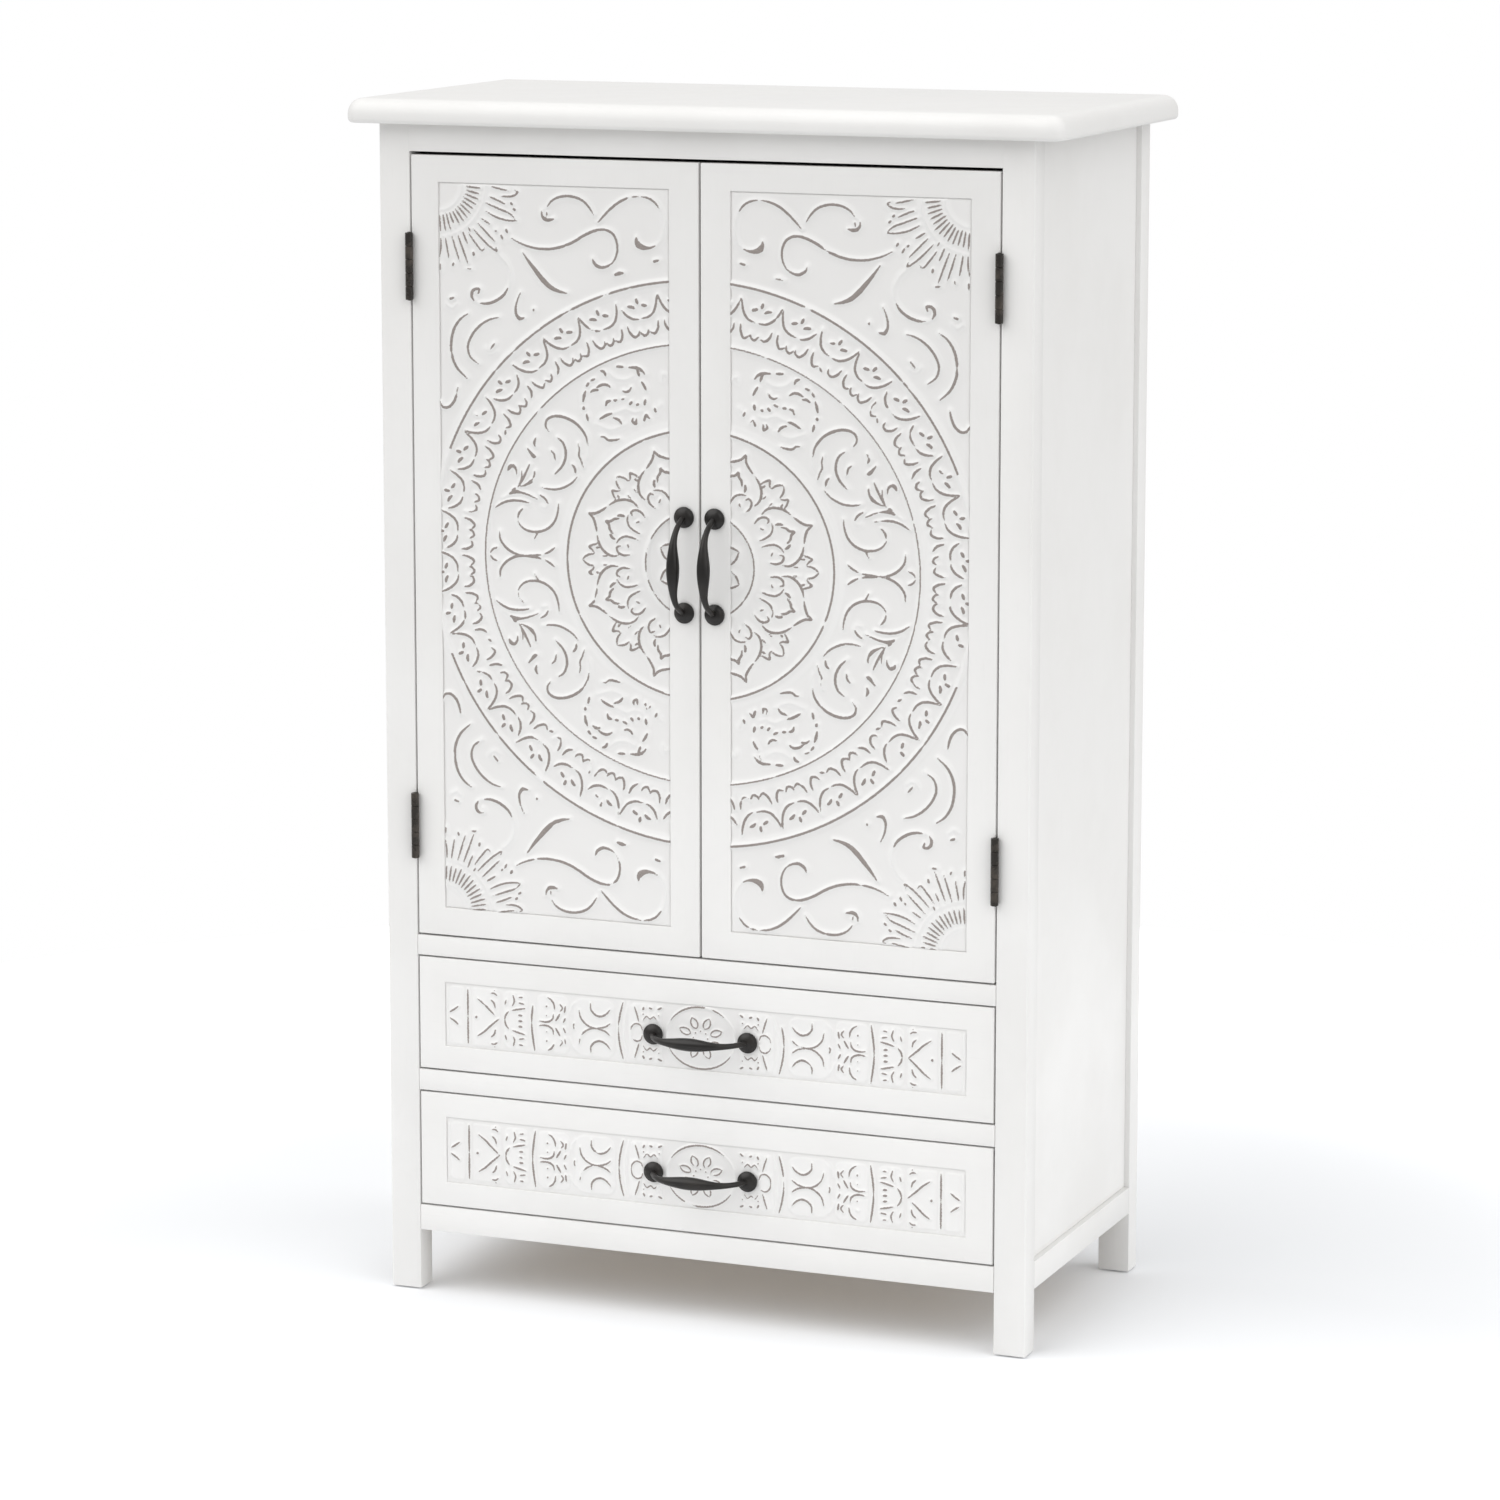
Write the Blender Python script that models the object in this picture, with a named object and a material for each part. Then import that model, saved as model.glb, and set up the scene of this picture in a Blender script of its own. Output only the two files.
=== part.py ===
"""Carved two-door armoire with two drawers, in painted wood.

Blender 4.5, metres, +Z up. X runs along the front, -Y points out of the front,
and the origin is on the floor under the middle of the whole piece.
The case is a frame of four corner posts with rails between them. Each door swings on
two butt hinges and each drawer runs on two wooden runners.
"""

import math

import bmesh
import bpy
from mathutils import Matrix, Vector

# Overall sizes of the case
CASE_WIDTH = 0.732
CASE_DEPTH = 0.378
CASE_HEIGHT = 1.270
TOP_THICKNESS = 0.026
TOP_SIDE_OVERHANG = 0.034
TOP_FRONT_OVERHANG = 0.018
TOP_BACK_OVERHANG = 0.004
TOP_EDGE_RADIUS = 0.016
TOP_LOWER_RADIUS = 0.004
TOP_CORNER_RADIUS = 0.018

# Corner posts, and the round glides under their feet
POST_WIDTH = 0.035
POST_DEPTH = 0.029
POST_EDGE = 0.0015
GLIDE_HEIGHT = 0.004
GLIDE_RADIUS = 0.010

# Front openings, from the floor up
FOOT_HEIGHT = 0.068
LOWER_DRAWER_BOTTOM = 0.096
LOWER_DRAWER_TOP = 0.225
UPPER_DRAWER_BOTTOM = 0.248
UPPER_DRAWER_TOP = 0.375
DOOR_OPENING_BOTTOM = 0.397
DOOR_OPENING_TOP = 1.241

# Boards
RAIL_THICKNESS = 0.020
SIDE_RAIL_HEIGHT = 0.030
SIDE_PANEL_THICKNESS = 0.009
SIDE_PANEL_RECESS = 0.006
BACK_PANEL_THICKNESS = 0.005
BACK_PANEL_INSET = 0.005
SHELF_THICKNESS = 0.012
LOWER_SHELF_BOTTOM = 0.700
UPPER_SHELF_BOTTOM = 0.998
SHELF_FRONT_SETBACK = 0.030
FLOOR_DROP = 0.002

# Doors
DOOR_THICKNESS = 0.018
DOOR_SIDE_GAP = 0.002
DOOR_BOTTOM_GAP = 0.002
DOOR_TOP_GAP = 0.0035
DOOR_MEETING_GAP = 0.0025
HINGE_STILE_WIDTH = 0.031
MEETING_STILE_WIDTH = 0.033
DOOR_BOTTOM_RAIL = 0.030
DOOR_TOP_RAIL = 0.028
PANEL_THICKNESS = 0.012
PANEL_RECESS = 0.0012

# Drawers
DRAWER_GAP = 0.002
DRAWER_FRONT_THICKNESS = 0.018
DRAWER_BORDER = 0.026
DRAWER_SIDE_BORDER = 0.030
CARVED_STRIP_THICKNESS = 0.007
DRAWER_BOX_LENGTH = 0.325
DRAWER_SIDE_THICKNESS = 0.012
DRAWER_SIDE_HEIGHT = 0.090
DRAWER_SIDE_LIFT = 0.012
DRAWER_BOTTOM_THICKNESS = 0.005
DRAWER_BOTTOM_LIFT = 0.008
DRAWER_SIDE_CLEARANCE = 0.001
RUNNER_HEIGHT = 0.014
RUNNER_THICKNESS = 0.007
RUNNER_PLAY = 0.0005

# Hinges
HINGE_HEIGHT = 0.071
HINGE_CENTRES = (0.518, 1.120)
BARREL_RADIUS = 0.0042
HINGE_PIN_RADIUS = 0.0016
HINGE_PIN_PLAY = 0.0004
LEAF_THICKNESS = 0.0010
LEAF_DEPTH = 0.016
MORTISE_DEPTH = 0.0008
KNUCKLES = 5

# Pull handles
DOOR_HANDLE_CENTRES = 0.101
DOOR_HANDLE_HEIGHT = 0.8175
DOOR_HANDLE_OFFSET = 0.0172
DRAWER_HANDLE_CENTRES = 0.108
ROSETTE_RADIUS = 0.0112
ROSETTE_HEIGHT = 0.0065
HANDLE_PROJECTION = 0.039
BOW_THICK = 0.0070
BOW_THIN = 0.0031
BOW_FULLNESS = 4.5

# Magnetic catch and strike plates
CATCH_SIZE = (0.046, 0.015, 0.014)
STRIKE_SIZE = (0.014, 0.0012, 0.022)
STRIKE_INSET = 0.003
CATCH_GAP = 0.0005

# Working clearances
TOUCH = 0.0003
EDGE = 0.0010

# Levels that follow from the driving dimensions
FRONT = -(CASE_DEPTH + TOP_BACK_OVERHANG - HANDLE_PROJECTION - TOUCH) / 2
BACK = FRONT + CASE_DEPTH
HALF_WIDTH = CASE_WIDTH / 2
OPENING_HALF = HALF_WIDTH - POST_WIDTH
PANEL_OUTSIDE = HALF_WIDTH - SIDE_PANEL_RECESS
PANEL_INSIDE = PANEL_OUTSIDE - SIDE_PANEL_THICKNESS
BACK_PANEL_FRONT = BACK - BACK_PANEL_INSET - BACK_PANEL_THICKNESS
CASE_TOP = CASE_HEIGHT - TOUCH
DRAWER_BOX_HALF = OPENING_HALF - DRAWER_SIDE_CLEARANCE


def clear_scene():
    """Remove whatever the scene holds."""
    for old in list(bpy.data.objects):
        bpy.data.objects.remove(old, do_unlink=True)


def finish(name, colour, roughness, metallic):
    """Make one plain finish."""
    material = bpy.data.materials.new(name)
    material.use_nodes = True
    shader = material.node_tree.nodes["Principled BSDF"]
    shader.inputs["Base Color"].default_value = (*colour, 1.0)
    shader.inputs["Roughness"].default_value = roughness
    shader.inputs["Metallic"].default_value = metallic
    return material


def carrier(name, place):
    """Add the empty that carries a moving body; it sits on the body's joint axis."""
    empty = bpy.data.objects.new(name, None)
    empty.location = place
    empty.empty_display_size = 0.03
    bpy.context.collection.objects.link(empty)
    return empty


def mesh_from(name, shape):
    """Turn a closed bmesh into a mesh with its faces pointing out, and free it."""
    bmesh.ops.recalc_face_normals(shape, faces=shape.faces)
    if shape.calc_volume(signed=True) < 0:
        bmesh.ops.reverse_faces(shape, faces=shape.faces)
    mesh = bpy.data.meshes.new(name)
    shape.to_mesh(mesh)
    shape.free()
    return mesh


def add_piece(name, mesh, centre, material, parent=None):
    """Add a mesh as a named piece at its centre, riding on its carrier if it moves."""
    piece = bpy.data.objects.new(name, mesh)
    piece.data.materials.append(material)
    piece.parent = parent
    piece.location = Vector(centre)
    if parent is not None:
        piece.location -= parent.location
    bpy.context.collection.objects.link(piece)
    return piece


def span(a, b):
    """Put two coordinates in rising order."""
    return min(a, b), max(a, b)


def board(name, low, high, material, parent=None, edge=EDGE):
    """Add a straight board between two corners, with its edges eased."""
    low = Vector(low)
    high = Vector(high)
    size = high - low
    shape = bmesh.new()
    bmesh.ops.create_cube(shape, size=1.0, matrix=Matrix.Diagonal((*size, 1.0)))
    if edge > 0:
        bmesh.ops.bevel(shape, geom=list(shape.edges), offset=edge, segments=1, affect="EDGES")
    return add_piece(name, mesh_from(name, shape), (low + high) / 2, material, parent)


def add_box(shape, low, high):
    """Draw one plain box in a bmesh."""
    low = Vector(low)
    high = Vector(high)
    place = Matrix.Translation((low + high) / 2) @ Matrix.Diagonal((*(high - low), 1.0))
    bmesh.ops.create_cube(shape, size=1.0, matrix=place)


def add_turned(shape, profile, sides):
    """Draw a closed turned solid about Z from (radius, height) pairs, base first."""
    rings = []
    for radius, height in profile:
        angles = [2 * math.pi * side / sides for side in range(sides)]
        rings.append([shape.verts.new((radius * math.cos(a), radius * math.sin(a), height))
                      for a in angles])
    for near, far in zip(rings, rings[1:]):
        for side in range(sides):
            after = (side + 1) % sides
            shape.faces.new((near[side], near[after], far[after], far[side]))
    shape.faces.new(rings[0])
    shape.faces.new(rings[-1])


def prism(name, outline, axis, low, high, material, parent=None):
    """Add a board of constant section: an outline in the other two axes, run along one."""
    shape = bmesh.new()
    corners = []
    for a, b in outline:
        point = [a, b]
        point.insert(axis, low)
        corners.append(shape.verts.new(point))
    face = shape.faces.new(corners)
    raised = bmesh.ops.extrude_face_region(shape, geom=[face])
    moved = [item for item in raised["geom"] if isinstance(item, bmesh.types.BMVert)]
    step = Vector((0, 0, 0))
    step[axis] = high - low
    bmesh.ops.translate(shape, verts=moved, vec=step)
    origin = parent.location.copy() if parent is not None else Vector((0, 0, 0))
    bmesh.ops.translate(shape, verts=list(shape.verts), vec=-origin)
    return add_piece(name, mesh_from(name, shape), origin, material, parent)


def combine(piece, tool, operation):
    """Join a hidden tool to a piece, or cut it out of the piece."""
    tool.hide_render = True
    tool.display_type = "WIRE"
    boolean = piece.modifiers.new(tool.name, "BOOLEAN")
    boolean.operation = operation
    boolean.solver = "EXACT"
    boolean.object = tool


def make_top_board(paint):
    """The top: one thick board with rounded corners and well rounded upper edges."""
    half = HALF_WIDTH + TOP_SIDE_OVERHANG
    low = Vector((-half, FRONT - TOP_FRONT_OVERHANG, CASE_HEIGHT))
    high = Vector((half, BACK + TOP_BACK_OVERHANG, CASE_HEIGHT + TOP_THICKNESS))
    size = high - low
    shape = bmesh.new()
    bmesh.ops.create_cube(shape, size=1.0, matrix=Matrix.Diagonal((*size, 1.0)))
    corners = [e for e in shape.edges if abs(e.verts[0].co.z - e.verts[1].co.z) > size.z / 2]
    bmesh.ops.bevel(shape, geom=corners, offset=TOP_CORNER_RADIUS, segments=5,
                    affect="EDGES", profile=0.5)
    upper = [e for e in shape.edges if min(v.co.z for v in e.verts) > size.z / 2 - TOUCH]
    bmesh.ops.bevel(shape, geom=upper, offset=TOP_EDGE_RADIUS, segments=4,
                    affect="EDGES", profile=0.5)
    lower = [e for e in shape.edges if max(v.co.z for v in e.verts) < TOUCH - size.z / 2]
    bmesh.ops.bevel(shape, geom=lower, offset=TOP_LOWER_RADIUS, segments=2,
                    affect="EDGES", profile=0.5)
    add_piece("top_board", mesh_from("top_board", shape), (low + high) / 2, paint)


def make_posts(paint):
    """Four corner posts, each on a round glide; hinges are let into the front two."""
    for side, sign in (("left", -1), ("right", 1)):
        x = span(sign * OPENING_HALF, sign * HALF_WIDTH)
        for place, front in (("front", FRONT), ("rear", BACK - POST_DEPTH)):
            name = f"{place}_{side}_post"
            post = board(name, (x[0], front, GLIDE_HEIGHT),
                         (x[1], front + POST_DEPTH, CASE_TOP), paint, edge=POST_EDGE)
            glide = bmesh.new()
            add_turned(glide, [(GLIDE_RADIUS - EDGE, 0.0), (GLIDE_RADIUS, EDGE),
                               (GLIDE_RADIUS, 2 * GLIDE_HEIGHT)], 16)
            foot = add_piece(name + "_glide", mesh_from(name + "_glide", glide),
                             (sum(x) / 2, front + POST_DEPTH / 2, 0), paint)
            combine(post, foot, "UNION")
            if place == "front":
                cut_mortises(post, sign, OPENING_HALF)


def make_rails(paint):
    """The four front rails, the two side rails and the rear rail between the posts."""
    reach = OPENING_HALF - TOUCH
    levels = {
        "front_bottom_rail": (FOOT_HEIGHT, LOWER_DRAWER_BOTTOM),
        "front_drawer_rail": (LOWER_DRAWER_TOP, UPPER_DRAWER_BOTTOM),
        "front_middle_rail": (UPPER_DRAWER_TOP, DOOR_OPENING_BOTTOM),
        "front_top_rail": (DOOR_OPENING_TOP, CASE_TOP),
    }
    for name, (bottom, top) in levels.items():
        board(name, (-reach, FRONT, bottom), (reach, FRONT + RAIL_THICKNESS, top), paint)
    near = FRONT + POST_DEPTH + TOUCH
    far = BACK - POST_DEPTH - TOUCH
    top = FOOT_HEIGHT + SIDE_RAIL_HEIGHT
    for side, sign in (("left", -1), ("right", 1)):
        x = span(sign * HALF_WIDTH, sign * (HALF_WIDTH - RAIL_THICKNESS))
        board(f"{side}_side_rail", (x[0], near, FOOT_HEIGHT), (x[1], far, top), paint)
    board("rear_bottom_rail", (-reach, BACK - POST_DEPTH, FOOT_HEIGHT),
          (reach, BACK_PANEL_FRONT - TOUCH, top), paint)


def make_panels(paint):
    """Thin side panels set back between the posts, and the back panel."""
    near = FRONT + POST_DEPTH + TOUCH
    far = BACK - POST_DEPTH - TOUCH
    bottom = FOOT_HEIGHT + SIDE_RAIL_HEIGHT + TOUCH
    for side, sign in (("left", -1), ("right", 1)):
        x = span(sign * PANEL_OUTSIDE, sign * PANEL_INSIDE)
        board(f"{side}_side_panel", (x[0], near, bottom), (x[1], far, CASE_TOP), paint, edge=0)
    reach = OPENING_HALF - TOUCH
    board("back_panel", (-reach, BACK_PANEL_FRONT, FOOT_HEIGHT),
          (reach, BACK_PANEL_FRONT + BACK_PANEL_THICKNESS, CASE_TOP), paint, edge=0)


def make_shelves(paint):
    """The cabinet floor and two shelves, each cut round the posts that it meets."""
    wide = PANEL_INSIDE - TOUCH
    narrow = OPENING_HALF - TOUCH
    front_notch = FRONT + POST_DEPTH + TOUCH
    rear_notch = BACK - POST_DEPTH - TOUCH
    rear = BACK_PANEL_FRONT - TOUCH
    floor_front = FRONT + RAIL_THICKNESS + TOUCH
    shelf_front = FRONT + SHELF_FRONT_SETBACK
    rear_edge = [(wide, rear_notch), (narrow, rear_notch), (narrow, rear),
                 (-narrow, rear), (-narrow, rear_notch), (-wide, rear_notch)]
    floor_edge = [(-wide, front_notch), (-narrow, front_notch), (-narrow, floor_front),
                  (narrow, floor_front), (narrow, front_notch), (wide, front_notch)]
    shelf_edge = [(-wide, shelf_front), (wide, shelf_front)]
    floor_top = DOOR_OPENING_BOTTOM - FLOOR_DROP
    boards = (("cabinet_floor", floor_edge, floor_top - SHELF_THICKNESS),
              ("lower_shelf", shelf_edge, LOWER_SHELF_BOTTOM),
              ("upper_shelf", shelf_edge, UPPER_SHELF_BOTTOM))
    for name, front_edge, bottom in boards:
        prism(name, front_edge + rear_edge, 2, bottom, bottom + SHELF_THICKNESS, paint)


def make_catch(plastic):
    """The double magnetic catch under the upper shelf, behind the meeting stiles."""
    width, depth, height = CATCH_SIZE
    front = FRONT + DOOR_THICKNESS + TOUCH + STRIKE_SIZE[1] + CATCH_GAP
    top = UPPER_SHELF_BOTTOM - TOUCH
    board("magnetic_catch", (-width / 2, front, top - height), (width / 2, front + depth, top),
          plastic)


def make_runners(wood):
    """Two wooden runners for each drawer, fixed across the posts at each side."""
    near = FRONT + RAIL_THICKNESS + TOUCH
    far = BACK_PANEL_FRONT - 5 * TOUCH
    for level, bottom in (("upper", UPPER_DRAWER_BOTTOM), ("lower", LOWER_DRAWER_BOTTOM)):
        middle = runner_level(bottom)
        for side, sign in (("left", -1), ("right", 1)):
            x = span(sign * (OPENING_HALF - TOUCH), sign * (OPENING_HALF - RUNNER_THICKNESS))
            board(f"{level}_{side}_runner", (x[0], near, middle - RUNNER_HEIGHT / 2),
                  (x[1], far, middle + RUNNER_HEIGHT / 2), wood)


def runner_level(bottom):
    """Height of the middle of the runners of the drawer in one opening."""
    return bottom + DRAWER_GAP + DRAWER_SIDE_LIFT + DRAWER_SIDE_HEIGHT / 2


def hinge_axis(sign):
    """Axis of a door's hinges: in the side gap, just in front of the faces."""
    return Vector((sign * (OPENING_HALF - DOOR_SIDE_GAP / 2),
                   FRONT - BARREL_RADIUS - TOUCH, DOOR_OPENING_BOTTOM))


def hinge_leaf(name, sign, centre, owner, bronze, parent=None):
    """Add one hinge leaf with fingers that reach its own knuckles; owner 0 is the post's
    leaf, 1 the door's."""
    axis = hinge_axis(sign)
    bottom = centre - HINGE_HEIGHT / 2
    step = HINGE_HEIGHT / KNUCKLES
    shoulder = FRONT + TOUCH
    finger = axis.y + BARREL_RADIUS * 0.7
    outline = [(FRONT + LEAF_DEPTH, bottom + HINGE_HEIGHT), (FRONT + LEAF_DEPTH, bottom)]
    outline += [(shoulder, bottom)] if owner else []
    for index in range(owner, KNUCKLES, 2):
        low = bottom + index * step + (TOUCH if index else 0)
        high = bottom + (index + 1) * step - (TOUCH if index + 1 < KNUCKLES else 0)
        inward = [(shoulder, low)] if index else []
        outward = [(shoulder, high)] if index + 1 < KNUCKLES else []
        outline += inward + [(finger, low), (finger, high)] + outward
    outline += [(shoulder, bottom + HINGE_HEIGHT)] if owner else []
    face = OPENING_HALF - DOOR_SIDE_GAP * owner
    x = span(sign * (face - LEAF_THICKNESS / 2), sign * (face + LEAF_THICKNESS / 2))
    return prism(name, outline, 0, x[0], x[1], bronze, parent)


def knuckle_tool(name, sign, profile, bronze):
    """A turned helper solid on a hinge's axis."""
    shape = bmesh.new()
    add_turned(shape, profile, 16)
    axis = hinge_axis(sign)
    return add_piece(name, mesh_from(name, shape), (axis.x, axis.y, 0), bronze)


def make_frame_hinges(bronze):
    """The hinge halves let into the front posts, each with its fixed pin."""
    step = HINGE_HEIGHT / KNUCKLES
    for side, sign in (("left", -1), ("right", 1)):
        for level, centre in zip(("lower", "upper"), HINGE_CENTRES):
            name = f"{side}_{level}_hinge_frame_leaf"
            leaf = hinge_leaf(name, sign, centre, 0, bronze)
            bottom = centre - HINGE_HEIGHT / 2
            profile = [(HINGE_PIN_RADIUS, bottom - EDGE)]
            for index in range(0, KNUCKLES, 2):
                low = bottom + index * step + (TOUCH if index else 0)
                high = bottom + (index + 1) * step - (TOUCH if index + 1 < KNUCKLES else 0)
                profile += [(HINGE_PIN_RADIUS, low), (BARREL_RADIUS, low),
                            (BARREL_RADIUS, high), (HINGE_PIN_RADIUS, high)]
            profile += [(HINGE_PIN_RADIUS, bottom + HINGE_HEIGHT + EDGE)]
            combine(leaf, knuckle_tool(name + "_pin", sign, profile, bronze), "UNION")


def make_door_hinge(side, level, sign, centre, bronze, parent):
    """The hinge half screwed to a door's edge; its knuckles turn round the pin."""
    step = HINGE_HEIGHT / KNUCKLES
    bottom = centre - HINGE_HEIGHT / 2
    name = f"{side}_{level}_hinge_door_leaf"
    leaf = hinge_leaf(name, sign, centre, 1, bronze, parent)
    for index in range(1, KNUCKLES, 2):
        profile = [(BARREL_RADIUS, bottom + index * step + TOUCH),
                   (BARREL_RADIUS, bottom + (index + 1) * step - TOUCH)]
        combine(leaf, knuckle_tool(f"{name}_knuckle_{index}", sign, profile, bronze), "UNION")
    bore = HINGE_PIN_RADIUS + HINGE_PIN_PLAY
    profile = [(bore, bottom), (bore, bottom + HINGE_HEIGHT)]
    combine(leaf, knuckle_tool(name + "_bore", sign, profile, bronze), "DIFFERENCE")


def cut_mortises(piece, sign, face):
    """Let the hinge leaves of one side into the edge of a post or a stile."""
    for level, centre in enumerate(HINGE_CENTRES):
        x = span(sign * (face - MORTISE_DEPTH), sign * (face + MORTISE_DEPTH))
        half = HINGE_HEIGHT / 2 + TOUCH
        shape = bmesh.new()
        add_box(shape, (x[0], FRONT - EDGE, centre - half),
                (x[1], FRONT + LEAF_DEPTH + TOUCH, centre + half))
        name = f"{piece.name}_mortise_{level}"
        cutter = add_piece(name, mesh_from(name, shape), (0, 0, 0), piece.data.materials[0])
        combine(piece, cutter, "DIFFERENCE")


def bow_mesh(name, centres):
    """A handle's bow along Z, standing out along -Y from the plane y = 0; it leaves each
    end steeply and is thickest in the middle."""
    half = centres / 2
    steps = 18
    sides = 12
    start = ROSETTE_HEIGHT / 2
    rise = HANDLE_PROJECTION - BOW_THICK - start
    bow = bmesh.new()
    rings = []
    for index in range(steps + 1):
        t = -math.cos(math.pi * index / steps)
        radius = BOW_THIN + (BOW_THICK - BOW_THIN) * math.cos(t * math.pi / 2) ** 2
        centre = Vector((0, -start - rise * (1 - abs(t) ** BOW_FULLNESS), t * half))
        slope = rise * BOW_FULLNESS * abs(t) ** (BOW_FULLNESS - 1) * math.copysign(1, t)
        out = Vector((0, -half, slope)).normalized()
        ring = []
        for side in range(sides):
            angle = 2 * math.pi * side / sides
            offset = Vector((math.cos(angle), 0, 0)) + out * math.sin(angle)
            ring.append(bow.verts.new(centre + offset * radius))
        rings.append(ring)
    for near, far in zip(rings, rings[1:]):
        for side in range(sides):
            after = (side + 1) % sides
            bow.faces.new((near[side], near[after], far[after], far[side]))
    bow.faces.new(rings[0])
    bow.faces.new(rings[-1])
    return mesh_from(name, bow)


def make_handle(name, centre, centres, upright, bronze, parent):
    """Add a bow pull: the bow, joined to a turned rosette at each end."""
    x, z = centre
    plane = FRONT - TOUCH
    mesh = bow_mesh(name, centres)
    if not upright:
        mesh.transform(Matrix.Rotation(math.pi / 2, 4, "Y"))
    handle = add_piece(name, mesh, (x, plane, z), bronze, parent)
    profile = [(ROSETTE_RADIUS * 0.88, 0.0), (ROSETTE_RADIUS, 0.0012), (ROSETTE_RADIUS, 0.0030),
               (ROSETTE_RADIUS * 0.88, 0.0048), (ROSETTE_RADIUS * 0.5, ROSETTE_HEIGHT)]
    for end in (-1, 1):
        shape = bmesh.new()
        add_turned(shape, profile, 20)
        bmesh.ops.rotate(shape, verts=list(shape.verts),
                         matrix=Matrix.Rotation(math.pi / 2, 3, "X"))
        step = end * centres / 2
        place = (x, plane, z + step) if upright else (x + step, plane, z)
        tool_name = f"{name}_rosette_{end + 1}"
        rosette = add_piece(tool_name, mesh_from(tool_name, shape), place, bronze)
        combine(handle, rosette, "UNION")


def make_door(side, sign, paint, bronze, steel):
    """One inset door: two stiles, two rails, the carved panel and its hardware."""
    parent = carrier(f"{side}_door_axis", hinge_axis(sign))
    outer = sign * (OPENING_HALF - DOOR_SIDE_GAP)
    inner = sign * DOOR_MEETING_GAP / 2
    bottom = DOOR_OPENING_BOTTOM + DOOR_BOTTOM_GAP
    top = DOOR_OPENING_TOP - DOOR_TOP_GAP
    back = FRONT + DOOR_THICKNESS
    hinge_line = outer - sign * HINGE_STILE_WIDTH
    meeting_line = inner + sign * MEETING_STILE_WIDTH
    stile_x = span(outer, hinge_line)
    hinge_stile = board(f"{side}_door_hinge_stile", (stile_x[0], FRONT, bottom),
                        (stile_x[1], back, top), paint, parent, edge=0)
    cut_mortises(hinge_stile, sign, OPENING_HALF - DOOR_SIDE_GAP)
    stile_x = span(inner, meeting_line)
    board(f"{side}_door_meeting_stile", (stile_x[0], FRONT, bottom),
          (stile_x[1], back, top), paint, parent, edge=0)
    rail_x = span(hinge_line - sign * TOUCH, meeting_line + sign * TOUCH)
    panel_low = bottom + DOOR_BOTTOM_RAIL
    panel_high = top - DOOR_TOP_RAIL
    board(f"{side}_door_bottom_rail", (rail_x[0], FRONT, bottom),
          (rail_x[1], back, panel_low), paint, parent, edge=0)
    board(f"{side}_door_top_rail", (rail_x[0], FRONT, panel_high),
          (rail_x[1], back, top), paint, parent, edge=0)
    board(f"{side}_door_carved_panel", (rail_x[0], FRONT + PANEL_RECESS, panel_low + TOUCH),
          (rail_x[1], FRONT + PANEL_RECESS + PANEL_THICKNESS, panel_high - TOUCH),
          paint, parent, edge=0)
    for level, centre in zip(("lower", "upper"), HINGE_CENTRES):
        make_door_hinge(side, level, sign, centre, bronze, parent)
    make_handle(f"{side}_door_handle", (sign * DOOR_HANDLE_OFFSET, DOOR_HANDLE_HEIGHT),
                DOOR_HANDLE_CENTRES, True, bronze, parent)
    width, depth, height = STRIKE_SIZE
    strike_x = span(inner + sign * STRIKE_INSET, inner + sign * (STRIKE_INSET + width))
    strike_z = UPPER_SHELF_BOTTOM - TOUCH - CATCH_SIZE[2] / 2
    board(f"{side}_door_strike_plate",
          (strike_x[0], back + TOUCH, strike_z - height / 2),
          (strike_x[1], back + TOUCH + depth, strike_z + height / 2), steel, parent, edge=0)


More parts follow.
